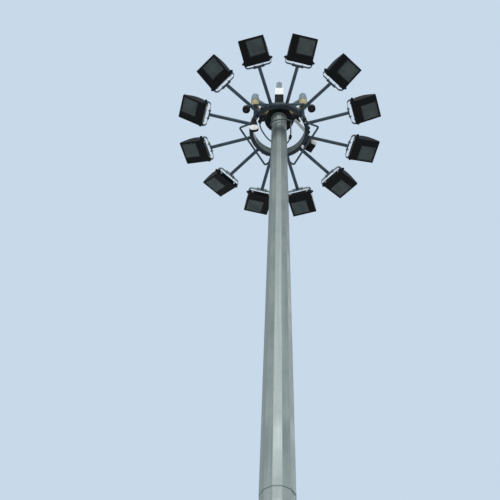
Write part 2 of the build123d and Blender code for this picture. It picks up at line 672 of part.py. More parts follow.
def mast_clamp():
    """Middle of the clamp block on the shaft's left facet."""
    level = RING_Z + MAST_CLAMP_RISE
    return Vector(-upper_flats(level) / 2 - CLAMP_HEIGHT / 2, 0, level)


def plate_clamp():
    """Middle of the clamp block under the head plate."""
    return outward(PLATE_CLAMP_AZIMUTH, PLATE_CLAMP_RADIUS, MAST_HEIGHT - CLAMP_HEIGHT / 2)


def cable_clamps():
    block = Box(CLAMP_LENGTH, CLAMP_LENGTH, CLAMP_HEIGHT)
    places = [tab_clamp(RIGHT_STATION_AZIMUTH, 1), tab_clamp(LEFT_STATION_AZIMUTH, -1), plate_clamp()]
    blocks = [Pos(*place) * block for place in places]
    side_block = Pos(*mast_clamp()) * Box(CLAMP_HEIGHT + OVERRUN, CLAMP_LENGTH, CLAMP_HEIGHT)
    shaft = tapered_prism(upper_flats, 0, RING_Z, MAST_HEIGHT)
    return Compound(blocks + [side_block - shaft])


def supply_cable():
    down = Vector(0, 0, -1)
    start = tab_clamp(LEFT_STATION_AZIMUTH, -1) + down * (CLAMP_HEIGHT / 2)
    end = plate_clamp() + down * (CLAMP_HEIGHT / 2)
    exits = [point + down * SUPPLY_CABLE_EXIT for point in (start, end)]
    return cable_tube([start, exits[0], *SUPPLY_CABLE_ROUTE, exits[1], end])


def head_cable():
    forward = Vector(0, -1, 0)
    left = Vector(-1, 0, 0)
    start = mast_clamp() + forward * (CLAMP_LENGTH / 2)
    end = tab_clamp(RIGHT_STATION_AZIMUTH, 1) + left * (CLAMP_LENGTH / 2)
    first = start + forward * HEAD_CABLE_EXIT
    last = end + left * HEAD_CABLE_EXIT
    return cable_tube([start, first, *HEAD_CABLE_ROUTE, last, end])


STEP_FILES = "parts"
os.makedirs(STEP_FILES, exist_ok=True)


def save(name, piece):
    """Write one sub-part to its own file."""
    export_step(piece, os.path.join(STEP_FILES, name + ".step"))


for maker in (
    base_flange, base_gussets, mast_lower, mast_upper, door_frame, service_door, head_plate, head_hub,
    dock_arms, dock_cylinders, dock_domes, dock_forks, dock_buffers, docking_pins,
    beacon_base, beacon_collar, beacon_dome, guard_bars, cable_socket, socket_flange,
    junction_box, box_cover, cable_clamps, supply_cable, head_cable,
):
    save(maker.__name__, maker())

arm = lamp_arm()
yoke = lamp_yoke()
housing = flood_housing()
glass = flood_glass()
for segment in range(RING_SEGMENTS):
    start = FIRST_SPLICE_AZIMUTH + segment * FULL_TURN / RING_SEGMENTS
    number = segment + 1
    save(f"ring_segment_{number}", ring_segment(start))
    save(f"lamp_arms_{number}", Compound([facing(azimuth) * arm for azimuth in lamp_azimuths(segment)]))
    save(f"lamp_yokes_{number}", Compound([facing(azimuth) * yoke for azimuth in lamp_azimuths(segment)]))
    for place, azimuth in enumerate(lamp_azimuths(segment)):
        lamp = segment * LAMPS_PER_SEGMENT + place + 1
        tilt = LAMP_TILTS[lamp - 1]
        save(f"flood_housing_{lamp:02d}", facing(azimuth) * in_yoke(housing, tilt))
        save(f"flood_glass_{lamp:02d}", facing(azimuth) * in_yoke(glass, tilt))
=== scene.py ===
# %% [markdown]
# # A high-mast light pole
# The pole is a twelve-sided steel shaft with a ring of floodlights round its top, which comes down the
# shaft for service. Its solids come in as a fixed frame, in metres, with +Z up and the origin under the
# base flange. This lesson dresses that frame: each solid gets the finish of its real material, and the
# small pieces that a solid model leaves out, such as bolts, welds, reflectors and cables, are modelled
# where the frame says they sit.

# %% Load the frame
import json
import math

import bmesh
import bpy
from mathutils import Matrix, Vector


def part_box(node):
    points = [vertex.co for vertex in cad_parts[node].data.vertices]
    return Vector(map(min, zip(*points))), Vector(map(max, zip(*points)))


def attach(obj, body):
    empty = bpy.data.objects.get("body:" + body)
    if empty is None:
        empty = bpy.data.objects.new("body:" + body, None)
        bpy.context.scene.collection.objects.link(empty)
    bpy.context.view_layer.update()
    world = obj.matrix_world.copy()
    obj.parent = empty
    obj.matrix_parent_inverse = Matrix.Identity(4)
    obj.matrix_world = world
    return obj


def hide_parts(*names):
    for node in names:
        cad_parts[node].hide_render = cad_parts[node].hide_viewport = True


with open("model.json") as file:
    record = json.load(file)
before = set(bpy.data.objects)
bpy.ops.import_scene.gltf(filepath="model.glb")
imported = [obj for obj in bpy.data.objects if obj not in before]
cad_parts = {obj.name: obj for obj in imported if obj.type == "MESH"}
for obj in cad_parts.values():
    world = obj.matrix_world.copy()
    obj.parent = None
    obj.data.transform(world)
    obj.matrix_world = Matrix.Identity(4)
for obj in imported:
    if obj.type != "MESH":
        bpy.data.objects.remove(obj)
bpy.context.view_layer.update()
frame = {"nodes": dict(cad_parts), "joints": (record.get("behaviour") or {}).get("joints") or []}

# %% [markdown]
# ## The camera
# The picture was taken from the ground, a few steps from the pole, looking steeply up. Such a view has to
# be found and not guessed: the middle of the ring, which is a known point of the frame, is put on its own
# pixel. The camera first looks straight at it, and is then pitched, yawed and rolled until that pixel is
# right.

# %% Place the camera
FRAME_PIXELS = 500
FOCAL_PIXELS = 1000
SENSOR_MM = 36.0
RING_PIXEL = Vector((278.6, 130.2))
VIEW_AZIMUTH = math.radians(0.82)
VIEW_ELEVATION = math.radians(62.15)
VIEW_DISTANCE = 12.7
VIEW_ROLL = math.radians(-0.24)
FARTHEST_SEEN = 200
UP = Vector((0, 0, 1))

arm_low, arm_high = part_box("lamp_arms_1")
ring_middle = Vector((0, 0, (arm_low.z + arm_high.z) / 2))
level = Vector((-math.sin(VIEW_AZIMUTH), math.cos(VIEW_AZIMUTH), 0))
forward = level * math.cos(VIEW_ELEVATION) + UP * math.sin(VIEW_ELEVATION)
eye = ring_middle - forward * VIEW_DISTANCE
right = forward.cross(UP).normalized()
upward = right.cross(forward)

offset_x = RING_PIXEL.x - FRAME_PIXELS / 2
offset_y = FRAME_PIXELS / 2 - RING_PIXEL.y
yaw = math.atan2(offset_x, FOCAL_PIXELS)
pitch = math.atan2(offset_y, math.hypot(offset_x, FOCAL_PIXELS))
pitched_up = upward * math.cos(pitch) + forward * math.sin(pitch)
pitched_forward = forward * math.cos(pitch) - upward * math.sin(pitch)
yawed_right = right * math.cos(yaw) + pitched_forward * math.sin(yaw)
yawed_forward = pitched_forward * math.cos(yaw) - right * math.sin(yaw)
rolled_right = yawed_right * math.cos(VIEW_ROLL) - pitched_up * math.sin(VIEW_ROLL)
rolled_up = yawed_right * math.sin(VIEW_ROLL) + pitched_up * math.cos(VIEW_ROLL)

camera = bpy.data.objects.new("camera", bpy.data.cameras.new("camera"))
bpy.context.scene.collection.objects.link(camera)
camera.data.sensor_width = SENSOR_MM
camera.data.lens = SENSOR_MM * FOCAL_PIXELS / FRAME_PIXELS
camera.data.clip_end = FARTHEST_SEEN
axes = Matrix((rolled_right, rolled_up, -yawed_forward)).transposed()
camera.matrix_world = Matrix.Translation(eye) @ axes.to_4x4()
bpy.context.scene.camera = camera
print("camera at", [round(value, 3) for value in eye], "lens", camera.data.lens)

# %% [markdown]
# ## The two cables at the head
# Two short rubber cables hang between clamp blocks: one loops from the left fork down behind the shaft and
# up to the head plate, the other crosses the front of the shaft. A cable is a length of something
# flexible, so each is one smooth spline with a round bevel, and its control points are the points of its
# route.

# %% Draw the cables
CABLE_RADIUS = 0.009
ROUND_STEPS = 4
SMOOTH_STEPS = 16
SUPPLY_ROUTE = [
    (-0.2434, -0.0505, 12.819), (-0.2434, -0.0505, 12.724), (-0.204, -0.021, 12.610),
    (-0.134, 0.054, 12.555), (0, 0.134, 12.515), (0.102, 0.102, 12.530), (0.145, 0.066, 12.640),
    (0.148, 0.034, 12.770), (0.1477, 0.026, 12.879), (0.1477, 0.026, 12.974),
]
HEAD_ROUTE = [
    (-0.1075, -0.015, 12.755), (-0.1075, -0.060, 12.755), (-0.085, -0.099, 12.748),
    (-0.046, -0.121, 12.745), (0.022, -0.121, 12.765), (0.088, -0.102, 12.806),
    (0.1834, -0.0505, 12.832), (0.2284, -0.0505, 12.832),
]


def cable(name, route):
    """Round cable on one smooth spline that has its route as control points."""
    curve = bpy.data.curves.new(name, "CURVE")
    curve.dimensions = "3D"
    curve.bevel_depth = CABLE_RADIUS
    curve.bevel_resolution = ROUND_STEPS
    curve.resolution_u = SMOOTH_STEPS
    curve.use_fill_caps = True
    spline = curve.splines.new("NURBS")
    spline.points.add(len(route) - 1)
    for point, place in zip(spline.points, route):
        point.co = (*place, 1)
    spline.order_u = 3
    spline.use_endpoint_u = True
    piece = bpy.data.objects.new(name, curve)
    bpy.context.scene.collection.objects.link(piece)
    print(name, "length", round(spline.calc_length(), 3))
    return piece


supply = cable("supply_lead", SUPPLY_ROUTE)
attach(supply, "mast")
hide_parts("supply_cable")

head = cable("head_lead", HEAD_ROUTE)
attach(head, "mast")
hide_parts("head_cable")

# %% [markdown]
# ## Helpers for materials
# A colour is picked on a screen as an sRGB hex value, but a shader works in linear light, so one function
# turns the one into the other. Another adds a node with its settings and links. Every pattern reads Object
# coordinates, and since every piece sits at the origin unturned, these are metres in the pole's own frame.

# %% Colours and nodes
MM = 0.001
MIX_FACTOR, MIX_FIRST, MIX_SECOND, MIX_COLOUR = 0, 6, 7, 2


def linear(colour):
    """Linear RGBA of an sRGB hex colour."""
    channels = [int(colour[start:start + 2], 16) / 255 for start in (1, 3, 5)]
    return [c / 12.92 if c <= 0.04045 else ((c + 0.055) / 1.055) ** 2.4 for c in channels] + [1]


def fill(node, sockets):
    """Give a node's inputs their values, or links from other nodes' outputs."""
    for name, value in sockets.items():
        if isinstance(value, bpy.types.NodeSocket):
            node.id_data.links.new(value, node.inputs[name])
        else:
            node.inputs[name].default_value = value


def add(tree, kind, sockets=None, **settings):
    """Add a node. Settings are its properties, and sockets fill its inputs."""
    new = tree.nodes.new("ShaderNode" + kind)
    for name, value in settings.items():
        setattr(new, name, value)
    fill(new, sockets or {})
    return new


def new_material(name):
    """Material with its node tree, its shader and the coordinates that its patterns read."""
    material = bpy.data.materials.new(name)
    material.use_nodes = True
    tree = material.node_tree
    place = add(tree, "TexCoord").outputs["Object"]
    return material, tree, tree.nodes["Principled BSDF"], place


def dress(material, *names):
    """Give solids of the frame a finish."""
    for name in names:
        slots = frame["nodes"][name].data.materials
        slots.clear()
        slots.append(material)


print("mid grey is", round(linear("#808080")[0], 3), "in linear light")

# %% [markdown]
# ## Weathered galvanised steel
# The shaft is folded sheet steel, dipped in molten zinc. New zinc is bright and covered in spangle,
# crystals a centimetre or two wide. Years outdoors dull it to a grey with a trace of green, washed by rain
# into long pale streaks, with the spangle just showing. A cell pattern makes the spangle, a stretched
# noise the streaks, and a slow noise the clouds of dull and bright zinc. Painted shade darkens the shaft
# little by little towards its head, in place of the glare that lights its lower part, and most in a
# painted shadow band just under the ring.

# %% Galvanised shaft steel
SPANGLE_SIZE = 22 * MM
CLOUD_SIZE = 420 * MM
STREAK_WIDTH = 26 * MM
STREAK_LENGTH = 1.6
# Painted shade: the shaft grows darker with height, in place of the glare lower down, and darkest in a
# painted shadow band under the ring.
HEIGHT_SHADE_STARTS, HEIGHT_SHADE_FULL, HEIGHT_SHADE_MOST = 7.5, 11.5, 0.28
COLLAR_LEVEL, COLLAR_NEAR, COLLAR_FAR, COLLAR_MOST = 12.5, 0.05, 0.25, 0.4


def galvanised_steel():
    """Spangled zinc with rain streaks, and painted shade by height and in a band under the ring."""
    material, tree, shader, place = new_material("weathered_galvanised_steel")
    cells = add(tree, "TexVoronoi", {"Vector": place, "Scale": 1 / SPANGLE_SIZE})
    spangle = add(tree, "SeparateColor", {"Color": cells.outputs["Color"]}).outputs["Red"]
    clouds = add(tree, "TexNoise", {
        "Vector": place, "Scale": 1 / CLOUD_SIZE, "Detail": 5, "Roughness": 0.6,
    }).outputs["Fac"]
    stretch = (1 / STREAK_WIDTH, 1 / STREAK_WIDTH, 1 / STREAK_LENGTH)
    drawn = add(tree, "Mapping", {"Vector": place, "Scale": stretch}).outputs["Vector"]
    streaks = add(tree, "TexNoise", {"Vector": drawn, "Scale": 1, "Detail": 3}).outputs["Fac"]

    cloud_share = add(tree, "MapRange", {"Value": clouds, "From Min": 0.35, "From Max": 0.65}).outputs[0]
    zinc = add(tree, "Mix", {
        MIX_FACTOR: cloud_share, MIX_FIRST: linear("#818A86"), MIX_SECOND: linear("#969F9A"),
    }, data_type="RGBA").outputs[MIX_COLOUR]
    streak_share = add(tree, "MapRange", {
        "Value": streaks, "From Min": 0.52, "From Max": 0.75, "To Max": 0.55,
    }).outputs[0]
    washed = add(tree, "Mix", {
        MIX_FACTOR: streak_share, MIX_FIRST: zinc, MIX_SECOND: linear("#ABB2AB"),
    }, data_type="RGBA").outputs[MIX_COLOUR]
    spangle_share = add(tree, "MapRange", {"Value": spangle, "To Max": 0.22}).outputs[0]
    spangled = add(tree, "Mix", {
        MIX_FACTOR: spangle_share, MIX_FIRST: washed, MIX_SECOND: linear("#6F7E80"),
    }, data_type="RGBA").outputs[MIX_COLOUR]

    # Painted shade by height and a painted shadow band under the ring, both mixed towards a dark grey.
    level = add(tree, "SeparateXYZ", {"Vector": place}).outputs["Z"]
    height_shade = add(tree, "MapRange", {
        "Value": level, "From Min": HEIGHT_SHADE_STARTS, "From Max": HEIGHT_SHADE_FULL, "To Max": HEIGHT_SHADE_MOST,
    }).outputs[0]
    above = add(tree, "Math", {0: level, 1: COLLAR_LEVEL}, operation="SUBTRACT").outputs[0]
    away = add(tree, "Math", {0: above}, operation="ABSOLUTE").outputs[0]
    collar = add(tree, "MapRange", {
        "Value": away, "From Min": COLLAR_NEAR, "From Max": COLLAR_FAR, "To Min": COLLAR_MOST, "To Max": 0,
    }).outputs[0]
    painted_shade_share = add(tree, "Math", {0: height_shade, 1: collar}, operation="ADD").outputs[0]
    shaded_colour = add(tree, "Mix", {
        MIX_FACTOR: painted_shade_share, MIX_FIRST: spangled, MIX_SECOND: linear("#4E5856"),
    }, data_type="RGBA").outputs[MIX_COLOUR]

    gloss = add(tree, "MapRange", {
        "Value": clouds, "From Min": 0.3, "From Max": 0.7, "To Min": 0.3, "To Max": 0.7,
    }).outputs[0]
    relief = add(tree, "Bump", {"Height": spangle, "Strength": 0.06, "Distance": 1 * MM}).outputs["Normal"]
    fill(shader, {"Base Color": shaded_colour, "Roughness": gloss, "Normal": relief, "Metallic": 0.28})
    return material


shaft_steel = galvanised_steel()
dress(
    shaft_steel, "base_flange", "base_gussets", "mast_lower", "mast_upper", "door_frame", "service_door"
)
print(shaft_steel.name, "nodes", len(shaft_steel.node_tree.nodes))

# %% [markdown]
# ## Galvanised steel of the ring and arms, with painted light and shade
# The ring, arms and yokes are thin tube and flat bar with the same zinc. It is drawn dull and dark
# blue-grey, darkest on the ring. This is partly dulled zinc and partly painted shade for parts seen from
# below against the sky, with cloudy patches a hand wide. Pale dust lies wherever a face looks up. Faces
# that look at the shaft get painted light, and faces that look away from it get painted shade that is
# nearly black. None of it needs a texture: the surface's own direction says where it lies.

# %% Steel of the ring and arms, with painted light and shade
PATCH_SIZE = 130 * MM
FINE_SPANGLE = 9 * MM
THIRDS = (1, 2, 3)


def dull_and_shaded_steel(name, dark, light):
    """Dull zinc in cloudy patches, darkened partly by painted shade, with dust, painted light and painted
    shade by facing.
    """
    material, tree, shader, place = new_material(name)
    patches = add(tree, "TexNoise", {
        "Vector": place, "Scale": 1 / PATCH_SIZE, "Detail": 6, "Roughness": 0.65,
    }).outputs["Fac"]
    cells = add(tree, "TexVoronoi", {"Vector": place, "Scale": 1 / FINE_SPANGLE}).outputs["Distance"]
    normal = add(tree, "NewGeometry").outputs["Normal"]
    facing_up = add(tree, "SeparateXYZ", {"Vector": normal}).outputs["Z"]
    inward = add(tree, "VectorMath", {0: place, 1: (-1, -1, 0)}, operation="MULTIPLY").outputs[0]
    to_shaft = add(tree, "VectorMath", {0: inward}, operation="NORMALIZE").outputs[0]
    facing_in = add(tree, "VectorMath", {0: normal, 1: to_shaft}, operation="DOT_PRODUCT").outputs["Value"]

    patch_share = add(tree, "MapRange", {"Value": patches, "From Min": 0.35, "From Max": 0.65}).outputs[0]
    zinc = add(tree, "Mix", {
        MIX_FACTOR: patch_share, MIX_FIRST: linear(dark), MIX_SECOND: linear(light),
    }, data_type="RGBA").outputs[MIX_COLOUR]
    dust_share = add(tree, "MapRange", {
        "Value": facing_up, "From Min": 0.35, "From Max": 0.95, "To Max": 0.6,
    }).outputs[0]
    dusty = add(tree, "Mix", {
        MIX_FACTOR: dust_share, MIX_FIRST: zinc, MIX_SECOND: linear("#868E8E"),
    }, data_type="RGBA").outputs[MIX_COLOUR]
    # Painted light: faces that look at the shaft are made paler.
    painted_light_share = add(tree, "MapRange", {
        "Value": facing_in, "From Min": 0.6, "From Max": 0.95, "To Max": 0.7,
    }).outputs[0]
    painted_light_colour = add(tree, "Mix", {
        MIX_FACTOR: painted_light_share, MIX_FIRST: dusty, MIX_SECOND: linear("#8E9A96"),
    }, data_type="RGBA").outputs[MIX_COLOUR]
    # Painted shade: faces that look away from the shaft are made nearly black.
    painted_shade_share = add(tree, "MapRange", {
        "Value": facing_in, "From Min": -0.6, "From Max": -0.95, "To Max": 0.75,
    }).outputs[0]
    shaded_colour = add(tree, "Mix", {
        MIX_FACTOR: painted_shade_share, MIX_FIRST: painted_light_colour, MIX_SECOND: linear("#14191C"),
    }, data_type="RGBA").outputs[MIX_COLOUR]

    gloss = add(tree, "MapRange", {"Value": patches, "To Min": 0.42, "To Max": 0.65}).outputs[0]
    relief = add(tree, "Bump", {"Height": cells, "Strength": 0.08, "Distance": 1 * MM}).outputs["Normal"]
    fill(shader, {"Base Color": shaded_colour, "Roughness": gloss, "Normal": relief, "Metallic": 0.4})
    return material


# The dark shades of the ring and arms are partly painted shade for parts seen from below against the sky.
ring_steel = dull_and_shaded_steel("ring_galvanised_steel_with_painted_shade", "#1A242B", "#2B3840")
arm_steel = dull_and_shaded_steel("arm_galvanised_steel_with_painted_shade", "#2C3A43", "#42535D")
dress(ring_steel, "docking_pins", *[f"ring_segment_{third}" for third in THIRDS])
dress(arm_steel, "guard_bars")
for part in ("lamp_arms", "lamp_yokes"):
    dress(arm_steel, *[f"{part}_{third}" for third in THIRDS])
print(ring_steel.name, arm_steel.name)

# %% [markdown]
# ## Black powder-coated aluminium
# The floodlights, the box and the beacon's foot are die-cast aluminium with a baked powder coat. The
# powder melts into a fine orange peel, a millimetre or two across, drawn here at four so that it can show.
# The coat is nearly black, a little brown where the sun has cooked it, and grey with dust on top.

# %% Powder coat of the floodlights
PEEL_SIZE = 4 * MM
COOKED_SIZE = 160 * MM
DULL_SPECULAR = 0.14


def powder_coat():
    """Baked coat with its orange peel, browned in patches and dusty on top."""
    material, tree, shader, place = new_material("black_powder_coated_aluminium")
    peel = add(tree, "TexNoise", {"Vector": place, "Scale": 1 / PEEL_SIZE, "Detail": 2}).outputs["Fac"]
    cooked = add(tree, "TexNoise", {"Vector": place, "Scale": 1 / COOKED_SIZE, "Detail": 4}).outputs["Fac"]
    cooked_share = add(tree, "MapRange", {"Value": cooked, "From Min": 0.45, "From Max": 0.7}).outputs[0]
    coat = add(tree, "Mix", {
        MIX_FACTOR: cooked_share, MIX_FIRST: linear("#06090B"), MIX_SECOND: linear("#100C0A"),
    }, data_type="RGBA").outputs[MIX_COLOUR]
    normal = add(tree, "NewGeometry").outputs["Normal"]
    facing_up = add(tree, "SeparateXYZ", {"Vector": normal}).outputs["Z"]
    dust_share = add(tree, "MapRange", {
        "Value": facing_up, "From Min": 0.55, "From Max": 1, "To Max": 0.4,
    }).outputs[0]
    dusty = add(tree, "Mix", {
        MIX_FACTOR: dust_share, MIX_FIRST: coat, MIX_SECOND: linear("#5A5F60"),
    }, data_type="RGBA").outputs[MIX_COLOUR]
    gloss = add(tree, "MapRange", {"Value": cooked, "To Min": 0.4, "To Max": 0.6}).outputs[0]
    relief = add(tree, "Bump", {"Height": peel, "Strength": 0.15, "Distance": 0.3 * MM}).outputs["Normal"]
    fill(shader, {
        "Base Color": dusty, "Roughness": gloss, "Normal": relief, "IOR": 1.5,
        "Specular IOR Level": DULL_SPECULAR,
    })
    return material


LAMP_JOINTS = [joint for joint in frame["joints"] if joint["type"] == "hinge"]
LAMP_NUMBERS = [joint["name"][-2:] for joint in LAMP_JOINTS]
black_coat = powder_coat()
dress(black_coat, "beacon_base", "junction_box", *[f"flood_housing_{number}" for number in LAMP_NUMBERS])
print(black_coat.name, "floodlights", len(LAMP_NUMBERS))

# %% [markdown]
# ## Toughened glass
# Each floodlight is closed by a pane of toughened soda-lime glass, a little green and dulled by weather.
# What it shows is mostly its own film of dust, with some of the inside of the lamp behind it and the sky's
# reflection over both. The pane is thin and flat, so it needs no refraction: it is a dark film that lets
# part of the view through.

# %% Floodlight panes
FILM_SIZE = 110 * MM


def toughened_glass():
    """Pane with an uneven film of dust."""
    material, tree, shader, place = new_material("toughened_glass")
    film = add(tree, "TexNoise", {"Vector": place, "Scale": 1 / FILM_SIZE, "Detail": 3}).outputs["Fac"]
    gloss = add(tree, "MapRange", {
        "Value": film, "From Min": 0.35, "From Max": 0.7, "To Min": 0.06, "To Max": 0.18,
    }).outputs[0]
    tint_share = add(tree, "MapRange", {"Value": film, "From Min": 0.3, "From Max": 0.7}).outputs[0]
    tint = add(tree, "Mix", {
        MIX_FACTOR: tint_share, MIX_FIRST: linear("#2B3A3C"), MIX_SECOND: linear("#48544F"),
    }, data_type="RGBA").outputs[MIX_COLOUR]
    fill(shader, {"Base Color": tint, "Roughness": gloss, "Alpha": 0.76, "IOR": 1.52})
    return material


pane_glass = toughened_glass()
dress(pane_glass, *[f"flood_glass_{number}" for number in LAMP_NUMBERS])
print(pane_glass.name, "panes", len(LAMP_NUMBERS))

# %% [markdown]
# ## Yellow and grey enamel, and black painted shade
# The docking cylinders and forks were painted a signal yellow that has faded to straw, with ochre patches
# where the primer shows through. The arms that carry them are a plain grey enamel. The hub and its plate
# get a near-black enamel that is painted shade, for the shadow on their undersides. Enamel is smooth and
# takes a soft shine.

# %% Enamels of the head
FADE_SIZE = 70 * MM
CHIP_SIZE = 14 * MM


def enamel(name, dark, light, primer, worn, extra=None):
    """Brush enamel that has faded unevenly, with primer showing in a worn share of chips."""
    material, tree, shader, place = new_material(name)
    faded = add(tree, "TexNoise", {"Vector": place, "Scale": 1 / FADE_SIZE, "Detail": 4}).outputs["Fac"]
    chips = add(tree, "TexNoise", {"Vector": place, "Scale": 1 / CHIP_SIZE, "Detail": 3}).outputs["Fac"]
    fade_share = add(tree, "MapRange", {"Value": faded, "From Min": 0.35, "From Max": 0.65}).outputs[0]
    paint = add(tree, "Mix", {
        MIX_FACTOR: fade_share, MIX_FIRST: linear(dark), MIX_SECOND: linear(light),
    }, data_type="RGBA").outputs[MIX_COLOUR]
    chip_share = add(tree, "MapRange", {
        "Value": chips, "From Min": 0.62 - worn, "From Max": 0.68 - worn,
    }).outputs[0]
    chipped = add(tree, "Mix", {
        MIX_FACTOR: chip_share, MIX_FIRST: paint, MIX_SECOND: linear(primer),
    }, data_type="RGBA").outputs[MIX_COLOUR]
    gloss = add(tree, "MapRange", {"Value": chip_share, "To Min": 0.38, "To Max": 0.7}).outputs[0]
    relief = add(tree, "Bump", {
        "Height": chip_share, "Strength": 0.3, "Distance": 0.4 * MM,
    }, invert=True).outputs["Normal"]
    fill(shader, {"Base Color": chipped, "Roughness": gloss, "Normal": relief})
    fill(shader, extra or {})
    return material


DULL = {"Specular IOR Level": DULL_SPECULAR}
yellow_enamel = enamel("faded_yellow_enamel", "#A08E56", "#B5AE7E", "#A87B48", 0.04)
grey_enamel = enamel("grey_enamel", "#6B7A82", "#7F8E95", "#565F63", 0)
# Painted shade: the hub and head plate are made near black for the shadow on their undersides.
head_shade_black = enamel("near_black_painted_shade_enamel", "#0A0E0F", "#171C1D", "#262B2C", 0, DULL)
dress(yellow_enamel, "dock_cylinders", "dock_forks")
dress(grey_enamel, "dock_arms")
dress(head_shade_black, "head_plate", "head_hub")
print(yellow_enamel.name, grey_enamel.name, head_shade_black.name)

# %% [markdown]
# ## Plastics and rubber
# The domes are smoky polycarbonate, moulded thin enough to let light through. The beacon's collar, the
# socket's flange and the box's cover are white ABS, the socket and clamps black nylon, the buffers and
# cables rubber. Each is a moulded surface, so each gets an even grain, finer on the real ones and drawn
# here at two or three millimetres so that it can show, and dirt that rain has left behind.

# %% Smoked domes
DIRT_SIZE = 45 * MM
FINE_GRAIN = 2 * MM
COARSE_GRAIN = 3 * MM


def moulded(name, clean, dirty, dirt_from, roughness, grain_size, extra=None):
    """Moulded plastic or rubber with a fine grain and patches of dirt."""
    material, tree, shader, place = new_material(name)
    grain = add(tree, "TexNoise", {"Vector": place, "Scale": 1 / grain_size, "Detail": 2}).outputs["Fac"]
    dirt = add(tree, "TexNoise", {
        "Vector": place, "Scale": 1 / DIRT_SIZE, "Detail": 6, "Roughness": 0.65,
    }).outputs["Fac"]
    dirt_share = add(tree, "MapRange", {"Value": dirt, "From Min": dirt_from, "From Max": 0.85}).outputs[0]
    colour = add(tree, "Mix", {
        MIX_FACTOR: dirt_share, MIX_FIRST: linear(clean), MIX_SECOND: linear(dirty),
    }, data_type="RGBA").outputs[MIX_COLOUR]
    gloss = add(tree, "MapRange", {
        "Value": dirt, "To Min": roughness - 0.08, "To Max": roughness + 0.12,
    }).outputs[0]
    relief = add(tree, "Bump", {"Height": grain, "Strength": 0.12, "Distance": 0.2 * MM}).outputs["Normal"]
    fill(shader, {"Base Color": colour, "Roughness": gloss, "Normal": relief})
    fill(shader, extra or {})
    return material


SMOKY = {"Transmission Weight": 0.55, "IOR": 1.58}
smoked_dome = moulded("smoked_polycarbonate", "#A9B7BE", "#8A979C", 0.4, 0.2, COARSE_GRAIN, SMOKY)
dress(smoked_dome, "dock_domes", "beacon_dome")
print(smoked_dome.name)

# %% White and black mouldings
white_abs = moulded("white_abs", "#F4F4F1", "#C9C8BF", 0.55, 0.35, FINE_GRAIN)
black_nylon = moulded("black_nylon", "#0A0B0C", "#191817", 0.45, 0.5, FINE_GRAIN, DULL)
black_rubber = moulded("black_natural_rubber", "#0C0D11", "#1B1C20", 0.4, 0.75, COARSE_GRAIN)
cable_rubber = moulded("rubber_cable_sheath", "#4C5552", "#69726E", 0.4, 0.6, FINE_GRAIN)
dress(white_abs, "beacon_collar", "socket_flange", "box_cover")
dress(black_nylon, "cable_socket", "cable_clamps")
dress(black_rubber, "dock_buffers")
for lead in (supply, head):
    lead.data.materials.append(cable_rubber)
print(white_abs.name, black_nylon.name, black_rubber.name, cable_rubber.name)

# %% [markdown]
# ## Making small pieces
# Bolts, welds and glands repeat many times on a pole. Each is shaped once about its own middle with a few
# mesh operators: an outline spun about Z for what is turned or welded round, a six-sided cone for what
# takes a spanner. Copies of that shape are gathered in one mesh, and the piece rides on the body that
# carries it.

# %% Shape a small piece
SMOOTH_BELOW = math.radians(40)
DOUBLES_WITHIN = 0.01 * MM
QUARTER = math.radians(90)


def turned(outline, steps):
    """Round shape about Z from an outline of (radius, height) points in millimetres."""
    shape = bmesh.new()
    points = [shape.verts.new((radius * MM, 0, height * MM)) for radius, height in outline]
    edges = [shape.edges.new(pair) for pair in zip(points, points[1:])]
    bmesh.ops.spin(
        shape, geom=points + edges, axis=UP, cent=(0, 0, 0), steps=steps, angle=4 * QUARTER, use_merge=True
    )
    bmesh.ops.remove_doubles(shape, verts=shape.verts, dist=DOUBLES_WITHIN)
    bmesh.ops.recalc_face_normals(shape, faces=shape.faces)
    return shape


def ease_edges(shape, edges, ease, segments):
    """Bevel edges of a shape by an ease in millimetres."""
    bmesh.ops.bevel(
        shape, geom=edges, offset=ease * MM, offset_type="OFFSET", segments=segments, profile=0.5,
        affect="EDGES", material=-1,
    )


def hexagon(across_flats, height, base):
    """Hexagon head or nut that stands on a base height, all in millimetres, with its top edge eased."""
    shape = bmesh.new()
    radius = across_flats * MM / math.sqrt(3)
    bmesh.ops.create_cone(
        shape, cap_ends=True, segments=6, radius1=radius, radius2=radius, depth=height * MM
    )
    rim = [edge for edge in shape.edges if all(vert.co.z > 0 for vert in edge.verts)]
    ease_edges(shape, rim, height / 8, segments=1)
    bmesh.ops.translate(shape, verts=shape.verts, vec=(0, 0, (base + height / 2) * MM))
    return shape


def only(kind, result):
    """Items of one kind among what an operator made."""
    return [item for item in result["geom"] if isinstance(item, kind)]


print("shapes are shaded smooth where they turn less than", round(math.degrees(SMOOTH_BELOW)), "degrees")

# %% Copy, place and keep it
OUTWARD = Matrix.Rotation(QUARTER, 4, "Y")
INWARD = Matrix.Rotation(-QUARTER, 4, "Y")
DOWNWARD = Matrix.Rotation(2 * QUARTER, 4, "X")
SIDEWARD = {1: Matrix.Rotation(-QUARTER, 4, "X"), -1: Matrix.Rotation(QUARTER, 4, "X")}
HERE = [Matrix.Identity(4)]
LAMP_AZIMUTHS = range(-15, 345, 30)
STATION_AZIMUTHS = (60, 180, 300)
BOTH_SIDES = (-1, 1)


def gather(*placed_shapes):
    """One shape from pairs of a shape and its list of places. The shapes are used up."""
    whole = bmesh.new()
    for shape, places in placed_shapes:
        mesh = bpy.data.meshes.new("copy")
        shape.to_mesh(mesh)
        shape.free()
        for place in places:
            copy = mesh.copy()
            copy.transform(place)
            whole.from_mesh(copy)
            bpy.data.meshes.remove(copy)
        bpy.data.meshes.remove(mesh)
    return whole


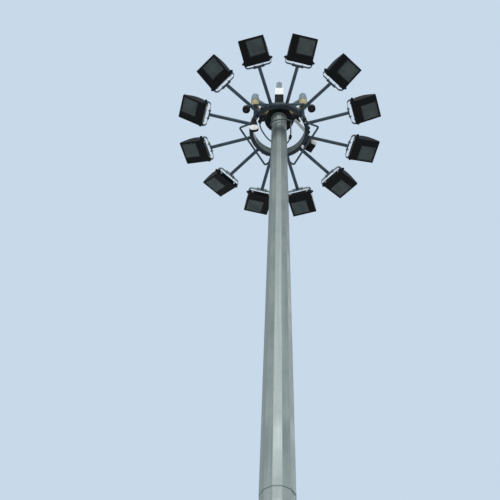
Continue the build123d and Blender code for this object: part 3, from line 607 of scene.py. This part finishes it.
def keep(name, shape, material, body):
    """Object from a finished shape, shaded smooth where its faces meet gently, riding on a body."""
    mesh = bpy.data.meshes.new(name)
    shape.to_mesh(mesh)
    shape.free()
    mesh.shade_smooth()
    mesh.set_sharp_from_angle(angle=SMOOTH_BELOW)
    mesh.materials.append(material)
    piece = bpy.data.objects.new(name, mesh)
    bpy.context.scene.collection.objects.link(piece)
    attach(piece, body)
    print(name, "faces", len(mesh.polygons))
    return piece


def around(azimuth, radius, height):
    """Place whose X looks away from the shaft.

    The azimuth is in degrees from -Y towards +X, the radius and the height are in millimetres.
    """
    turn = Matrix.Rotation(math.radians(azimuth) - QUARTER, 4, "Z")
    return turn @ Matrix.Translation((radius * MM, 0, height * MM))


def shifted(x, y, z):
    """Move in millimetres."""
    return Matrix.Translation((x * MM, y * MM, z * MM))


def pointing(place, way):
    """Place, in metres, whose Z looks along a way."""
    return Matrix.Translation(place) @ way.to_track_quat("Z", "Y").to_matrix().to_4x4()


print("places for", len(LAMP_AZIMUTHS), "lamps and", len(STATION_AZIMUTHS), "stations")

# %% [markdown]
# ## Zinc-plated fasteners
# Most bolts, nuts and screws are electroplated with zinc, which is brighter and greyer than the dipped
# zinc of the shaft. Outdoors it dulls in blotches a few millimetres wide, so its roughness varies more
# than its colour. Other bare metals differ from it in shades and shine, so one function serves them all.

# %% Zinc plating
BLOTCH_SIZE = 8 * MM


def bare_metal(name, grain_size, detail, spread, shades, roughness, metallic):
    """Unpainted metal that varies between two shades, each with its own roughness.

    The spread is the stretch of the noise over which one shade gives way to the other.
    """
    material, tree, shader, place = new_material(name)
    blotches = add(tree, "TexNoise", {"Vector": place, "Scale": 1 / grain_size, "Detail": detail})
    share = add(tree, "MapRange", {
        "Value": blotches.outputs["Fac"], "From Min": spread[0], "From Max": spread[1],
    }).outputs[0]
    shade = add(tree, "Mix", {
        MIX_FACTOR: share, MIX_FIRST: linear(shades[0]), MIX_SECOND: linear(shades[1]),
    }, data_type="RGBA").outputs[MIX_COLOUR]
    gloss = add(tree, "MapRange", {
        "Value": share, "To Min": roughness[0], "To Max": roughness[1],
    }).outputs[0]
    fill(shader, {"Base Color": shade, "Roughness": gloss, "Metallic": metallic})
    return material


zinc = bare_metal(
    "zinc_plated_steel", BLOTCH_SIZE, detail=3, spread=(0.35, 0.65), shades=("#838B8C", "#A7AEAE"),
    roughness=(0.5, 0.3), metallic=0.8,
)
print(zinc.name)

# %% [markdown]
# ## The foot of the pole
# The flange is held down by twelve anchor bolts, cast into a foundation, each with a washer, a nut and a
# length of bare thread above it. The thread is an outline of ridges spun round, not a helix: at this size
# nobody can tell. The shaft is welded to the flange and to the head plate, and a bead with twelve sides
# stands for each weld. Two locks with a three-sided key hold the service door.

# %% Anchor bolts
ANCHOR_AZIMUTHS = range(15, 375, 30)
ANCHOR_RADIUS = 250
FLANGE_TOP = 25
STUD_FOOT = -22
THREAD_RADIUS = 15
THREAD_ROOT = 13.4
THREAD_PITCH = 3.5
THREADS = 11
ANCHOR_WASHER = 5
ANCHOR_NUT = 46
NUT_TOP = 29
POINT_HEIGHT = 2

stud = [(0, STUD_FOOT), (THREAD_RADIUS, STUD_FOOT), (THREAD_RADIUS, NUT_TOP)]
for ridge in range(THREADS):
    stud.append((THREAD_ROOT, NUT_TOP + (ridge + 0.5) * THREAD_PITCH))
    stud.append((THREAD_RADIUS, NUT_TOP + (ridge + 1) * THREAD_PITCH))
stud_top = NUT_TOP + THREADS * THREAD_PITCH + POINT_HEIGHT
stud += [(THREAD_ROOT - 1, stud_top), (0, stud_top)]
washer = [(0, 0), (28, 0), (28, ANCHOR_WASHER - 1), (27, ANCHOR_WASHER), (0, ANCHOR_WASHER)]
anchor_places = [around(azimuth, ANCHOR_RADIUS, FLANGE_TOP) for azimuth in ANCHOR_AZIMUTHS]
anchors = gather(
    (turned(stud, steps=16), anchor_places),
    (turned(washer, steps=24), anchor_places),
    (hexagon(ANCHOR_NUT, NUT_TOP - ANCHOR_WASHER, ANCHOR_WASHER), anchor_places),
)
keep("anchor_bolts", anchors, zinc, "mast")

# %% Shaft welds and door locks
SIDES = 12
SHAFT_TOP = 13000
FACET_TURN = Matrix.Rotation(math.radians(180 / SIDES), 4, "Z")
FOOT_BEAD = [(199, 0), (211, 0), (210, 4), (207, 8), (203, 10.5), (199, 11), (199, 0)]
HEAD_BEAD = [(93, 0), (104, 0), (103, -4), (99, -8), (93, -9.5), (93, 0)]
LOCK_FRONTS = {840: 188.0, 1360: 183.7}
LOCK_CASE = [(0, 0), (15, 0), (15, 3), (13.5, 4.5), (9.5, 4.5), (9.5, 2), (0, 2)]

welds = gather(
    (turned(FOOT_BEAD, steps=SIDES), [FACET_TURN @ shifted(0, 0, FLANGE_TOP)]),
    (turned(HEAD_BEAD, steps=SIDES), [FACET_TURN @ shifted(0, 0, SHAFT_TOP)]),
)
keep("shaft_welds", welds, shaft_steel, "mast")

lock_key = bmesh.new()
bmesh.ops.create_cone(
    lock_key, cap_ends=True, segments=3, radius1=6 * MM, radius2=5 * MM, depth=10 * MM
)
lock_places = [around(0, front, height) @ OUTWARD for height, front in LOCK_FRONTS.items()]
locks = gather((turned(LOCK_CASE, steps=24), lock_places), (lock_key, lock_places))
keep("door_locks", locks, zinc, "mast")

# %% [markdown]
# ## The ring's thirds
# The ring is rolled from a box section with a rim that stands up along its inner edge. In the photograph
# that pale inner wall is about as high as three widths of the underside. The solid ring is lower and has
# wide end flanges, so each of its thirds is replaced by a piece with the section that shows. The section
# is a loop of a few points, spun through a third of a turn and closed at its ends. A curved cover strap
# with four bolts joins two thirds outside.

# %% Rolled bars
RING_LEVEL = 12700
RING_MIDDLE = 355
RING_INNER = 324
RING_OUTER = 375
RING_FOOT = 12660
RING_TOP = 12740
RIM_TOP = 12800
RIM_OUTER = RING_INNER + 10
RING_EASE = 3
RING_STEPS = 32
THIRD_TURN = 120
JOINT_GAP = 0.2
SPLICE_AZIMUTHS = (-30, 90, 210)


def eased(corners, ease):
    """Loop of a section with every corner cut off at one distance from its point."""
    points = [Vector(corner) for corner in corners]
    loop = []
    for before, point, after in zip(points[-1:] + points[:-1], points, points[1:] + points[:1]):
        loop.append(point + (before - point).normalized() * ease)
        loop.append(point + (after - point).normalized() * ease)
    return loop


def rolled_bar(section, start, end, steps):
    """Bar of a section, given as radius and height, rolled round the shaft between two azimuths."""
    shape = bmesh.new()
    points = [shape.verts.new((radius * MM, 0, height * MM)) for radius, height in section]
    loop = [shape.edges.new(pair) for pair in zip(points, points[1:] + points[:1])]
    bmesh.ops.spin(
        shape, geom=points + loop, axis=UP, cent=(0, 0, 0), steps=steps, angle=math.radians(end - start)
    )
    open_edges = [edge for edge in shape.edges if edge.is_boundary]
    bmesh.ops.holes_fill(shape, edges=open_edges, sides=len(section))
    bmesh.ops.recalc_face_normals(shape, faces=shape.faces)
    turn = Matrix.Rotation(math.radians(start) - QUARTER, 3, "Z")
    bmesh.ops.rotate(shape, verts=shape.verts, cent=(0, 0, 0), matrix=turn)
    return shape


ring_corners = [
    (RING_INNER, RING_FOOT), (RING_OUTER, RING_FOOT), (RING_OUTER, RING_TOP), (RIM_OUTER, RING_TOP),
    (RIM_OUTER, RIM_TOP), (RING_INNER, RIM_TOP),
]
ring_section = eased(ring_corners, RING_EASE)
for third, azimuth in zip(THIRDS, SPLICE_AZIMUTHS):
    bar = rolled_bar(ring_section, azimuth + JOINT_GAP, azimuth + THIRD_TURN - JOINT_GAP, RING_STEPS)
    tube = keep(f"ring_tube_{third}", bar, ring_steel, "carriage")
    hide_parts(f"ring_segment_{third}")

# %% [markdown]
# ## Bolts and welds of the ring
# Four bolts go through each cover strap. Each arm is welded to the ring at one end and to its plate at the
# other, and two bolts hold the yoke to that plate. The guard's lugs are bolted up into the ring, and the
# docking pins are welded where they leave its top. A bolt is known by its thread, and its head by the
# width of the spanner and its height.

# %% Bolts with their washers
M10_HEAD = (17, 7)
M10_LOW_HEAD = (17, 5)
M12_HEAD = (19, 7.5)
M12_NUT = (19, 10)
M16_HEAD = (24, 10)
WASHER_HEIGHT = 2.5
WASHER_SHARE = 0.62


def bolt_head(across_flats, height):
    """Bolt head on its washer."""
    radius = across_flats * WASHER_SHARE
    washer = turned([(0, 0), (radius, 0), (radius, WASHER_HEIGHT), (0, WASHER_HEIGHT)], steps=16)
    return gather((washer, HERE), (hexagon(across_flats, height, WASHER_HEIGHT), HERE))


def bolt_end(across_flats, height):
    """Nut on its washer, with the end of the bolt standing out of it."""
    radius = across_flats / 3
    top = WASHER_HEIGHT + height
    end = [(0, 0), (radius, 0), (radius, top + 4), (radius - 1.5, top + 6), (0, top + 6)]
    return gather((bolt_head(across_flats, height), HERE), (turned(end, steps=12), HERE))


print("widest spanner", M16_HEAD[0], "mm")

# %% Cover straps and plate bolts
COVER_OUTER = 381
COVER_FOOT = 12667
COVER_TOP = 12733
COVER_EASE = 2
COVER_STEPS = 8
COVER_HALF_ANGLE = 6.5
COVER_BOLT_ANGLE = 4.2
COVER_BOLT_LEVELS = (12683, 12717)
PLATE_FACE = 898
YOKE_FACE = 911
PLATE_BOLT_REACH = 52

cover_corners = [
    (RING_OUTER, COVER_FOOT), (COVER_OUTER, COVER_FOOT), (COVER_OUTER, COVER_TOP), (RING_OUTER, COVER_TOP),
]
cover_section = eased(cover_corners, COVER_EASE)
covers = [
    rolled_bar(cover_section, azimuth - COVER_HALF_ANGLE, azimuth + COVER_HALF_ANGLE, COVER_STEPS)
    for azimuth in SPLICE_AZIMUTHS
]
cover_steel = gather(*[(cover, HERE) for cover in covers])
keep("splice_covers", cover_steel, ring_steel, "carriage")
cover_bolts = [
    around(azimuth + side * COVER_BOLT_ANGLE, COVER_OUTER, level) @ OUTWARD
    for azimuth in SPLICE_AZIMUTHS for side in BOTH_SIDES for level in COVER_BOLT_LEVELS
]
splice_bolts = gather((bolt_head(*M10_HEAD), cover_bolts))
keep("splice_bolts", splice_bolts, ring_steel, "carriage")

plate_heads, plate_ends = [], []
for azimuth in LAMP_AZIMUTHS:
    for side in BOTH_SIDES:
        beside = shifted(0, side * PLATE_BOLT_REACH, 0)
        plate_heads.append(around(azimuth, PLATE_FACE, RING_LEVEL) @ beside @ INWARD)
        plate_ends.append(around(azimuth, YOKE_FACE, RING_LEVEL) @ beside @ OUTWARD)
plate_bolts = gather((bolt_head(*M12_HEAD), plate_heads), (bolt_end(*M12_NUT), plate_ends))
keep("yoke_bolts", plate_bolts, zinc, "carriage")

# %% Arm welds, lug bolts and pin welds
ARM_ROOT = 374
ARM_BEAD = [(20, 0), (29, 0), (28, 2.5), (25, 5.5), (20, 8), (20, 0)]
PIN_BEAD = [(14, 0), (19.5, 0), (18.5, 3), (14, 6), (14, 0)]
LUG_FOOT = 12625.5
LUG_ANGLE = 54
GUARD_AZIMUTHS = (0, 120, 240)

roots = [around(azimuth, ARM_ROOT, RING_LEVEL) @ OUTWARD for azimuth in LAMP_AZIMUTHS]
ends = [around(azimuth, PLATE_FACE, RING_LEVEL) @ INWARD for azimuth in LAMP_AZIMUTHS]
pins = [around(azimuth, RING_MIDDLE, RING_TOP) for azimuth in STATION_AZIMUTHS]
beads = gather((turned(ARM_BEAD, steps=20), roots + ends), (turned(PIN_BEAD, steps=20), pins))
keep("carriage_welds", beads, arm_steel, "carriage")

lug_places = [
    around(azimuth + side * LUG_ANGLE, RING_MIDDLE, LUG_FOOT) @ DOWNWARD
    for azimuth in GUARD_AZIMUTHS for side in BOTH_SIDES
]
guard_bolts = gather((bolt_head(*M10_HEAD), lug_places))
keep("guard_bolts", guard_bolts, zinc, "carriage")

# %% [markdown]
# ## Bolts of the head
# The hub's flange is bolted down on the head plate, and each rubber buffer hangs from its fork by one
# bolt, whose washer shows in the middle of its lower face. Nothing here moves with the carriage.

# %% Hub bolts and buffer bolts
HUB_BOLT_AZIMUTHS = range(0, 360, 45)
HUB_BOLT_RADIUS = 128
HUB_FLANGE_TOP = 13027
BUFFER_FOOT = 12805
BUFFER_SPREAD = 119

hub_places = [around(azimuth, HUB_BOLT_RADIUS, HUB_FLANGE_TOP) for azimuth in HUB_BOLT_AZIMUTHS]
keep("hub_bolts", gather((bolt_head(*M16_HEAD), hub_places)), zinc, "mast")
buffer_places = [
    around(azimuth, RING_MIDDLE + side * BUFFER_SPREAD, BUFFER_FOOT) @ DOWNWARD
    for azimuth in STATION_AZIMUTHS for side in BOTH_SIDES
]
buffer_bolts = gather((bolt_head(*M10_LOW_HEAD), buffer_places))
keep("buffer_bolts", buffer_bolts, arm_steel, "mast")

# %% [markdown]
# ## Inside and outside a floodlight
# Each floodlight has its own aim, so its small pieces are shaped about its pivot, with X outward, Y along
# the pivot and Z up, and then put in its place: the joint gives the pivot and its axis. A joint stops
# sixty degrees above level, so what it has left from its rest says how far the lamp is already tipped.

# %% Places of the floodlights
STEEPEST_TILT = 60
lamp_places = {}
for number, joint in zip(LAMP_NUMBERS, LAMP_JOINTS):
    axis = Vector(joint["axis"])
    tilt = STEEPEST_TILT - joint["range_deg"][1]
    untipped = Matrix((-axis.cross(UP), -axis, UP)).transposed().to_4x4()
    tipped = Matrix.Rotation(math.radians(tilt), 4, axis) @ untipped
    lamp_places[number] = Matrix.Translation(Vector(joint["pos_m"])) @ tipped
    print("floodlight", number, "tilt", round(tilt, 1))

# %% [markdown]
# ## Reflector and lamp
# Behind the pane sits a reflector pressed from aluminium sheet, anodised to a satin grey, and in it a
# double-ended quartz lamp. The reflector starts as one face over the window. It is extruded up twice, each
# time smaller, its mouth is opened, and the sheet gets its thickness last.

# %% Satin reflector and quartz
PRESS_SIZE = 30 * MM
satin = bare_metal(
    "anodised_aluminium", PRESS_SIZE, detail=2, spread=(0, 1), shades=("#7C8684", "#98A19D"),
    roughness=(0.5, 0.65), metallic=0.4,
)
quartz = moulded("frosted_quartz", "#C9CCC6", "#A5A8A2", 0.45, 0.3, COARSE_GRAIN)
print(satin.name, quartz.name)

# %% Reflectors and lamps
WINDOW_X, WINDOW_Y = 173.5, 34.5
MOUTH_LEVEL = -43.5
DISH_STEPS = [
    ((WINDOW_X, WINDOW_Y), (195, 205), MOUTH_LEVEL),
    ((166, WINDOW_Y), (164, 192), -16),
    ((146, WINDOW_Y), (84, 160), 9),
]
DISH_EASE = 18
SHEET = 1.2
LAMP_MIDDLE = (150, WINDOW_Y, -14)
LAMP_OUTLINE = [
    (0, -66), (7, -66), (7, -52), (4, -50), (4, -46), (10, -40), (10, 40), (4, 46), (4, 50), (7, 52),
    (7, 66), (0, 66),
]


def reflector():
    """Pressed dish over the window, about the lamp's pivot."""
    shape = bmesh.new()
    bmesh.ops.create_grid(shape, x_segments=1, y_segments=1, size=0.5)
    top = shape.faces[:][0]
    for step, (middle, size, level) in enumerate(DISH_STEPS):
        if step:
            top = only(bmesh.types.BMFace, bmesh.ops.extrude_face_region(shape, geom=[top]))[0]
        ends = [sorted(vert.co[way] for vert in top.verts) for way in (0, 1)]
        grow = [size[way] * MM / (ends[way][-1] - ends[way][0]) for way in (0, 1)]
        bmesh.ops.translate(shape, verts=top.verts, vec=-top.calc_center_median())
        bmesh.ops.scale(shape, verts=top.verts, vec=(*grow, 1))
        bmesh.ops.translate(shape, verts=top.verts, vec=(middle[0] * MM, middle[1] * MM, level * MM))
    bmesh.ops.recalc_face_normals(shape, faces=shape.faces)
    mouth = [face for face in shape.faces if face.calc_center_median().z < (MOUTH_LEVEL + 1) * MM]
    bmesh.ops.delete(shape, geom=mouth, context="FACES_ONLY")
    upright = [edge for edge in shape.edges if abs(edge.verts[0].co.z - edge.verts[1].co.z) > MM]
    ease_edges(shape, upright, DISH_EASE, segments=4)
    bmesh.ops.solidify(shape, geom=shape.faces[:], thickness=SHEET * MM)
    return shape


for number, place in lamp_places.items():
    body = "flood_" + number
    keep("reflector_" + number, gather((reflector(), [place])), satin, body)
    lamp_place = place @ shifted(*LAMP_MIDDLE) @ SIDEWARD[1]
    arc_tube = gather((turned(LAMP_OUTLINE, steps=16), [lamp_place]))
    keep("arc_tube_" + number, arc_tube, quartz, body)

# %% [markdown]
# ## Bright stainless steel
# The clips of the floodlights and the strap beside the right station are stainless sheet. Its near-white
# shades are partly painted highlight, standing in for the glints that make these small pieces the only
# light dots among black castings in the photograph.

# %% Stainless sheet
BRUSH_SIZE = 5 * MM
# Painted highlight: near-white shades stand in for the glints on these small pieces, on top of stainless
# steel's own brightness.
stainless = bare_metal(
    "stainless_steel", BRUSH_SIZE, detail=2, spread=(0, 1), shades=("#C4C9C8", "#E6E9E7"),
    roughness=(0.3, 0.45), metallic=0.35,
)
print(stainless.name)

# %% [markdown]
# ## Window gasket, clips and pivot bolts
# A rubber gasket frames the pane and hides the joint round it. Two sprung clips on the wall next to the
# yoke hold the front shut, and in the photograph they are the bright dots there. A bolt head closes each
# pivot, and screws hold the face. A gasket is a face with its middle cut out, thickened, and its edges
# eased.

# %% Gaskets
FACE_LEVEL = -50
GASKET_SIZE = (203, 212)
GASKET_WIDTH = 10
GASKET_PROUD = 2
GASKET_SUNK = 1
GASKET_EASE = 0.8


def gasket():
    """Rubber frame round the window, about the lamp's pivot."""
    shape = bmesh.new()
    bmesh.ops.create_grid(shape, x_segments=1, y_segments=1, size=0.5)
    bmesh.ops.scale(shape, verts=shape.verts, vec=(GASKET_SIZE[0] * MM, GASKET_SIZE[1] * MM, 1))
    pane = shape.faces[:]
    bmesh.ops.inset_region(
        shape, faces=pane, thickness=GASKET_WIDTH * MM, use_boundary=True, use_even_offset=True
    )
    bmesh.ops.delete(shape, geom=pane, context="FACES_ONLY")
    front = only(bmesh.types.BMVert, bmesh.ops.extrude_face_region(shape, geom=shape.faces[:]))
    bmesh.ops.translate(shape, verts=front, vec=(0, 0, -(GASKET_PROUD + GASKET_SUNK) * MM))
    bmesh.ops.recalc_face_normals(shape, faces=shape.faces)
    sharp = [edge for edge in shape.edges if edge.calc_face_angle(0) > SMOOTH_BELOW]
    ease_edges(shape, sharp, GASKET_EASE, segments=2)
    middle = (WINDOW_X * MM, WINDOW_Y * MM, (FACE_LEVEL + GASKET_SUNK) * MM)
    bmesh.ops.translate(shape, verts=shape.verts, vec=middle)
    return shape


for number, place in lamp_places.items():
    rubber = gather((gasket(), [place]))
    keep("gasket_" + number, rubber, black_rubber, "flood_" + number)

# %% Clips, screws and pivot bolts
INNER_WALL = -31
CLIP_SIZE = (3, 24, 34)
CLIP_EASE = 1
CLIP_REACH = 113
CLIP_LEVEL = -6
CLIP_ROLL = [(0, -13), (3, -13), (4, -12), (4, 12), (3, 13), (0, 13)]
CAP_FACE = 180.8
SCREW_PLACES = [(-14, -142), (-14, 142), (134, -146), (134, 147), (280, -146), (280, 147)]
FACE_SCREW = [(0, 0), (5, 0), (4.6, 1.6), (3, 2.6), (0, 3)]


def clip():
    """Sprung toggle: an eased strap with a rolled end, standing on the wall behind it along -X."""
    strap = bmesh.new()
    bmesh.ops.create_cube(strap, size=1)
    bmesh.ops.scale(strap, verts=strap.verts, vec=[side * MM for side in CLIP_SIZE])
    ease_edges(strap, strap.edges[:], CLIP_EASE, segments=2)
    strap_place = shifted(-CLIP_SIZE[0] / 2, 0, 0)
    roll_place = shifted(-CLIP_SIZE[0] - CLIP_EASE, 0, CLIP_SIZE[2] / 2) @ SIDEWARD[1]
    return gather((strap, [strap_place]), (turned(CLIP_ROLL, steps=12), [roll_place]))


for number, place in lamp_places.items():
    body = "flood_" + number
    clips = [place @ shifted(INNER_WALL, side * CLIP_REACH, CLIP_LEVEL) for side in BOTH_SIDES]
    screws = [place @ shifted(x, y, FACE_LEVEL) @ DOWNWARD for x, y in SCREW_PLACES]
    pivots = [place @ shifted(0, side * CAP_FACE, 0) @ SIDEWARD[side] for side in BOTH_SIDES]
    keep("clips_" + number, gather((clip(), clips)), stainless, body)
    fixings = gather((turned(FACE_SCREW, steps=12), screws), (bolt_head(*M12_HEAD), pivots))
    keep("fixings_" + number, fixings, black_coat, body)

# %% [markdown]
# ## Cooling ribs
# The lamp's heat leaves through its back, so the casting has low ribs along it. A rib is a chain of a few
# points just under the back's curve, drawn up into a strip and then sideways into a bar.

# %% Ribs on the floodlights' backs
RIB_LINE = [
    (-20, 21), (10, 34.5), (45, 44.5), (79, 49), (115, 48.7), (150, 43.2), (185, 32.3), (201, 25),
    (262, -9),
]
RIB_HEIGHT = 8
RIB_THICKNESS = 5
RIB_PLACES = (-120, -72, -24, 24, 72, 120)


def cooling_rib():
    """Bar along the back's curve, about the lamp's pivot."""
    shape = bmesh.new()
    points = [shape.verts.new((along * MM, 0, height * MM)) for along, height in RIB_LINE]
    edges = [shape.edges.new(pair) for pair in zip(points, points[1:])]
    upper = only(bmesh.types.BMVert, bmesh.ops.extrude_edge_only(shape, edges=edges))
    bmesh.ops.translate(shape, verts=upper, vec=(0, 0, RIB_HEIGHT * MM))
    beside = only(bmesh.types.BMVert, bmesh.ops.extrude_face_region(shape, geom=shape.faces[:]))
    bmesh.ops.translate(shape, verts=beside, vec=(0, RIB_THICKNESS * MM, 0))
    bmesh.ops.translate(shape, verts=shape.verts, vec=(0, -RIB_THICKNESS * MM / 2, 0))
    bmesh.ops.recalc_face_normals(shape, faces=shape.faces)
    return shape


for number, place in lamp_places.items():
    ribs = gather((cooling_rib(), [place @ shifted(0, across, 0) for across in RIB_PLACES]))
    keep("ribs_" + number, ribs, black_coat, "flood_" + number)

# %% [markdown]
# ## Fittings of the ring and the box
# A white cable gland stands under the ring beside the box, and the box has a black one under it and four
# screws in its cover. A pale strap runs from the ring's inner wall up to a point under the right buffers,
# where a maker would put a latch. It is a flat bar, so it starts as an edge that is extruded along its run
# into faces, which then get their thickness.

# %% Glands and cover screws
KNOB_AZIMUTH = 124.5
KNOB_RADIUS = 357
KNOB = [(0, 0), (14, 0), (14, 5), (19, 5), (19, 17), (16, 21), (10, 22), (0, 22)]
BOX_AZIMUTH = 121
BOX_MIDDLE = 12720
BOX_BACK = 389
GLAND_PLACE = (50, 14, -60)
GLAND = [(0, 0), (15, 0), (15, 8), (13, 9), (13, 22), (9, 26), (0, 26)]
COVER_FACE = -90
COVER_SCREWS = [(56, -30), (108, -30), (56, 30), (108, 30)]
COVER_SCREW = [(0, 0), (3.6, 0), (3.4, 1.4), (2, 2.2), (0, 2.4)]

knob_place = around(KNOB_AZIMUTH, KNOB_RADIUS, RING_FOOT) @ DOWNWARD
knob = gather((turned(KNOB, steps=32), [knob_place]))
keep("ring_gland", knob, white_abs, "carriage")
box_place = around(BOX_AZIMUTH, BOX_BACK, BOX_MIDDLE)
gland = gather((turned(GLAND, steps=24), [box_place @ shifted(*GLAND_PLACE) @ DOWNWARD]))
keep("box_gland", gland, black_nylon, "carriage")
screw_places = [box_place @ shifted(x, COVER_FACE, z) @ SIDEWARD[-1] for x, z in COVER_SCREWS]
cover_screws = gather((turned(COVER_SCREW, steps=12), screw_places))
keep("cover_screws", cover_screws, zinc, "carriage")

# %% Latch strap
STRAP_START = Vector((0.337, 0.012, 12.680))
STRAP_END = Vector((0.2142, -0.0865, 12.785))
STRAP_WIDTH = 42
STRAP_THICKNESS = 4
STRAP_TIP = 22

run = STRAP_END - STRAP_START
ahead = Vector((run.x, run.y, 0)).normalized()
half_width = UP.cross(ahead) * STRAP_WIDTH * MM / 2
strap = bmesh.new()
corners = [strap.verts.new(STRAP_START + half_width * side) for side in BOTH_SIDES]
edge = strap.edges.new(corners)
for stretch in (run, ahead * STRAP_TIP * MM):
    drawn = bmesh.ops.extrude_edge_only(strap, edges=[edge])
    ends = only(bmesh.types.BMVert, drawn)
    edge = next(line for line in only(bmesh.types.BMEdge, drawn) if set(line.verts) == set(ends))
    bmesh.ops.translate(strap, verts=ends, vec=stretch)
bmesh.ops.recalc_face_normals(strap, faces=strap.faces)
bmesh.ops.solidify(strap, geom=strap.faces[:], thickness=STRAP_THICKNESS * MM)
keep("latch_strap", strap, stainless, "carriage")

# %% [markdown]
# ## Fittings of the cables
# Each cable leaves its clamp through a tapered nylon boot, and a moulded coupling joins the supply cable
# halfway up its right side. The coupling has to sit on the cable, so the cable's own curve is read for the
# nearest point and its direction.

# %% Boots and coupling
BOOT = [
    (0, 0), (15, 0), (15, 6), (13, 7), (13, 10), (12.4, 12), (12.4, 15), (11.6, 17), (11.6, 20),
    (10.6, 24), (0, 24),
]
COUPLING_NEAR = Vector((0.145, 0.066, 12.64))
COUPLING = [
    (0, -34), (11, -34), (14, -28), (19, -26), (19, -3), (17, -2), (17, 2), (19, 3), (19, 26), (14, 28),
    (11, 34), (0, 34),
]

boots = []
for route in (SUPPLY_ROUTE, HEAD_ROUTE):
    for start, onward in ((route[0], route[1]), (route[-1], route[-2])):
        boots.append(pointing(start, Vector(onward) - Vector(start)))
keep("cable_boots", gather((turned(BOOT, steps=24), boots)), black_nylon, "mast")

supply.data.bevel_depth = 0
line = [vert.co.copy() for vert in bpy.data.meshes.new_from_object(supply).vertices]
supply.data.bevel_depth = CABLE_RADIUS
nearest = min(range(1, len(line) - 1), key=lambda index: (line[index] - COUPLING_NEAR).length)
coupling_place = pointing(line[nearest], line[nearest + 1] - line[nearest - 1])
halves = gather((turned(COUPLING, steps=24), [coupling_place]))
coupling = keep("cable_coupling", halves, black_nylon, "mast")

# %% [markdown]
# ## The beacon's lens
# Inside the smoky dome stands a red lens of polycarbonate, on a foot that sits on the collar. The sun has
# bleached it, so its red is a dull rose. It is turned like the bolts, from an outline with a round top.

# %% Red lens
COLLAR_TOP = 13812
LENS = [(0, 0), (27, 0), (27, 8), (22, 10), (22, 120), (20, 132), (14, 142), (0, 147)]

red_lens = moulded("red_polycarbonate", "#A8615C", "#8A4A48", 0.4, 0.25, COARSE_GRAIN)
lens = gather((turned(LENS, steps=32), [shifted(0, 0, COLLAR_TOP)]))
keep("beacon_lens", lens, red_lens, "mast")

# %% [markdown]
# ## Lights, floor and background
# The lamps stand for a bright overcast sky in front of the pole: one wide soft sun from the front, a weak
# one from behind for the rims, and an even world. The floor and the background are pale and plain. The
# camera, mirrors and glass see the pale background, while the light that it throws on the pole is weaker.

# %% Light the pole
SUN_SOFTNESS = 30
SHOWN_STRENGTH = 1.0
LIGHT_STRENGTH = 0.45


def sun(name, azimuth, elevation, strength):
    """Distant soft lamp at an azimuth from -Y towards +X and an elevation, both in degrees."""
    lamp = bpy.data.lights.new(name, "SUN")
    lamp.energy = strength
    lamp.angle = math.radians(SUN_SOFTNESS)
    holder = bpy.data.objects.new(name, lamp)
    bpy.context.scene.collection.objects.link(holder)
    turn, rise = math.radians(azimuth), math.radians(elevation)
    across = math.cos(rise)
    source = Vector((math.sin(turn) * across, -math.cos(turn) * across, math.sin(rise)))
    holder.rotation_euler = source.to_track_quat("Z", "Y").to_euler()


sun("key_lamp", azimuth=0, elevation=30, strength=2.1)
sun("rim_lamp", azimuth=150, elevation=50, strength=0.8)

world = bpy.data.worlds.new("studio")
bpy.context.scene.world = world
world.use_nodes = True
tree = world.node_tree
tree.nodes.clear()
rays = add(tree, "LightPath").outputs
seen = add(tree, "Math", {0: rays["Is Camera Ray"], 1: rays["Is Glossy Ray"]}, operation="MAXIMUM")
seen = add(tree, "Math", {0: seen.outputs[0], 1: rays["Is Transmission Ray"]}, operation="MAXIMUM")
shown = add(tree, "Background", {"Color": linear("#C8D9EA"), "Strength": SHOWN_STRENGTH})
light = add(tree, "Background", {"Color": linear("#DCE6F0"), "Strength": LIGHT_STRENGTH})
chosen = add(tree, "MixShader", {"Fac": seen.outputs[0], 1: light.outputs[0], 2: shown.outputs[0]})
add(tree, "OutputWorld", {"Surface": chosen.outputs[0]})
bpy.context.scene.view_settings.view_transform = "Standard"
print("lamps", len(bpy.data.lights))

# %% Lay the floor
FLOOR_SIZE = 120
FLOOR_DROP = 0.5 * MM

shape = bmesh.new()
bmesh.ops.create_grid(shape, x_segments=1, y_segments=1, size=FLOOR_SIZE / 2)
bmesh.ops.translate(shape, verts=shape.verts, vec=(0, 0, -FLOOR_DROP))
floor = bpy.data.objects.new("floor", bpy.data.meshes.new("floor"))
shape.to_mesh(floor.data)
shape.free()
bpy.context.scene.collection.objects.link(floor)
pale_floor, _, shader, _ = new_material("pale_floor")
fill(shader, {"Base Color": linear("#D8DADC"), "Roughness": 0.9})
floor.data.materials.append(pale_floor)
print("floor", FLOOR_SIZE, "m wide")
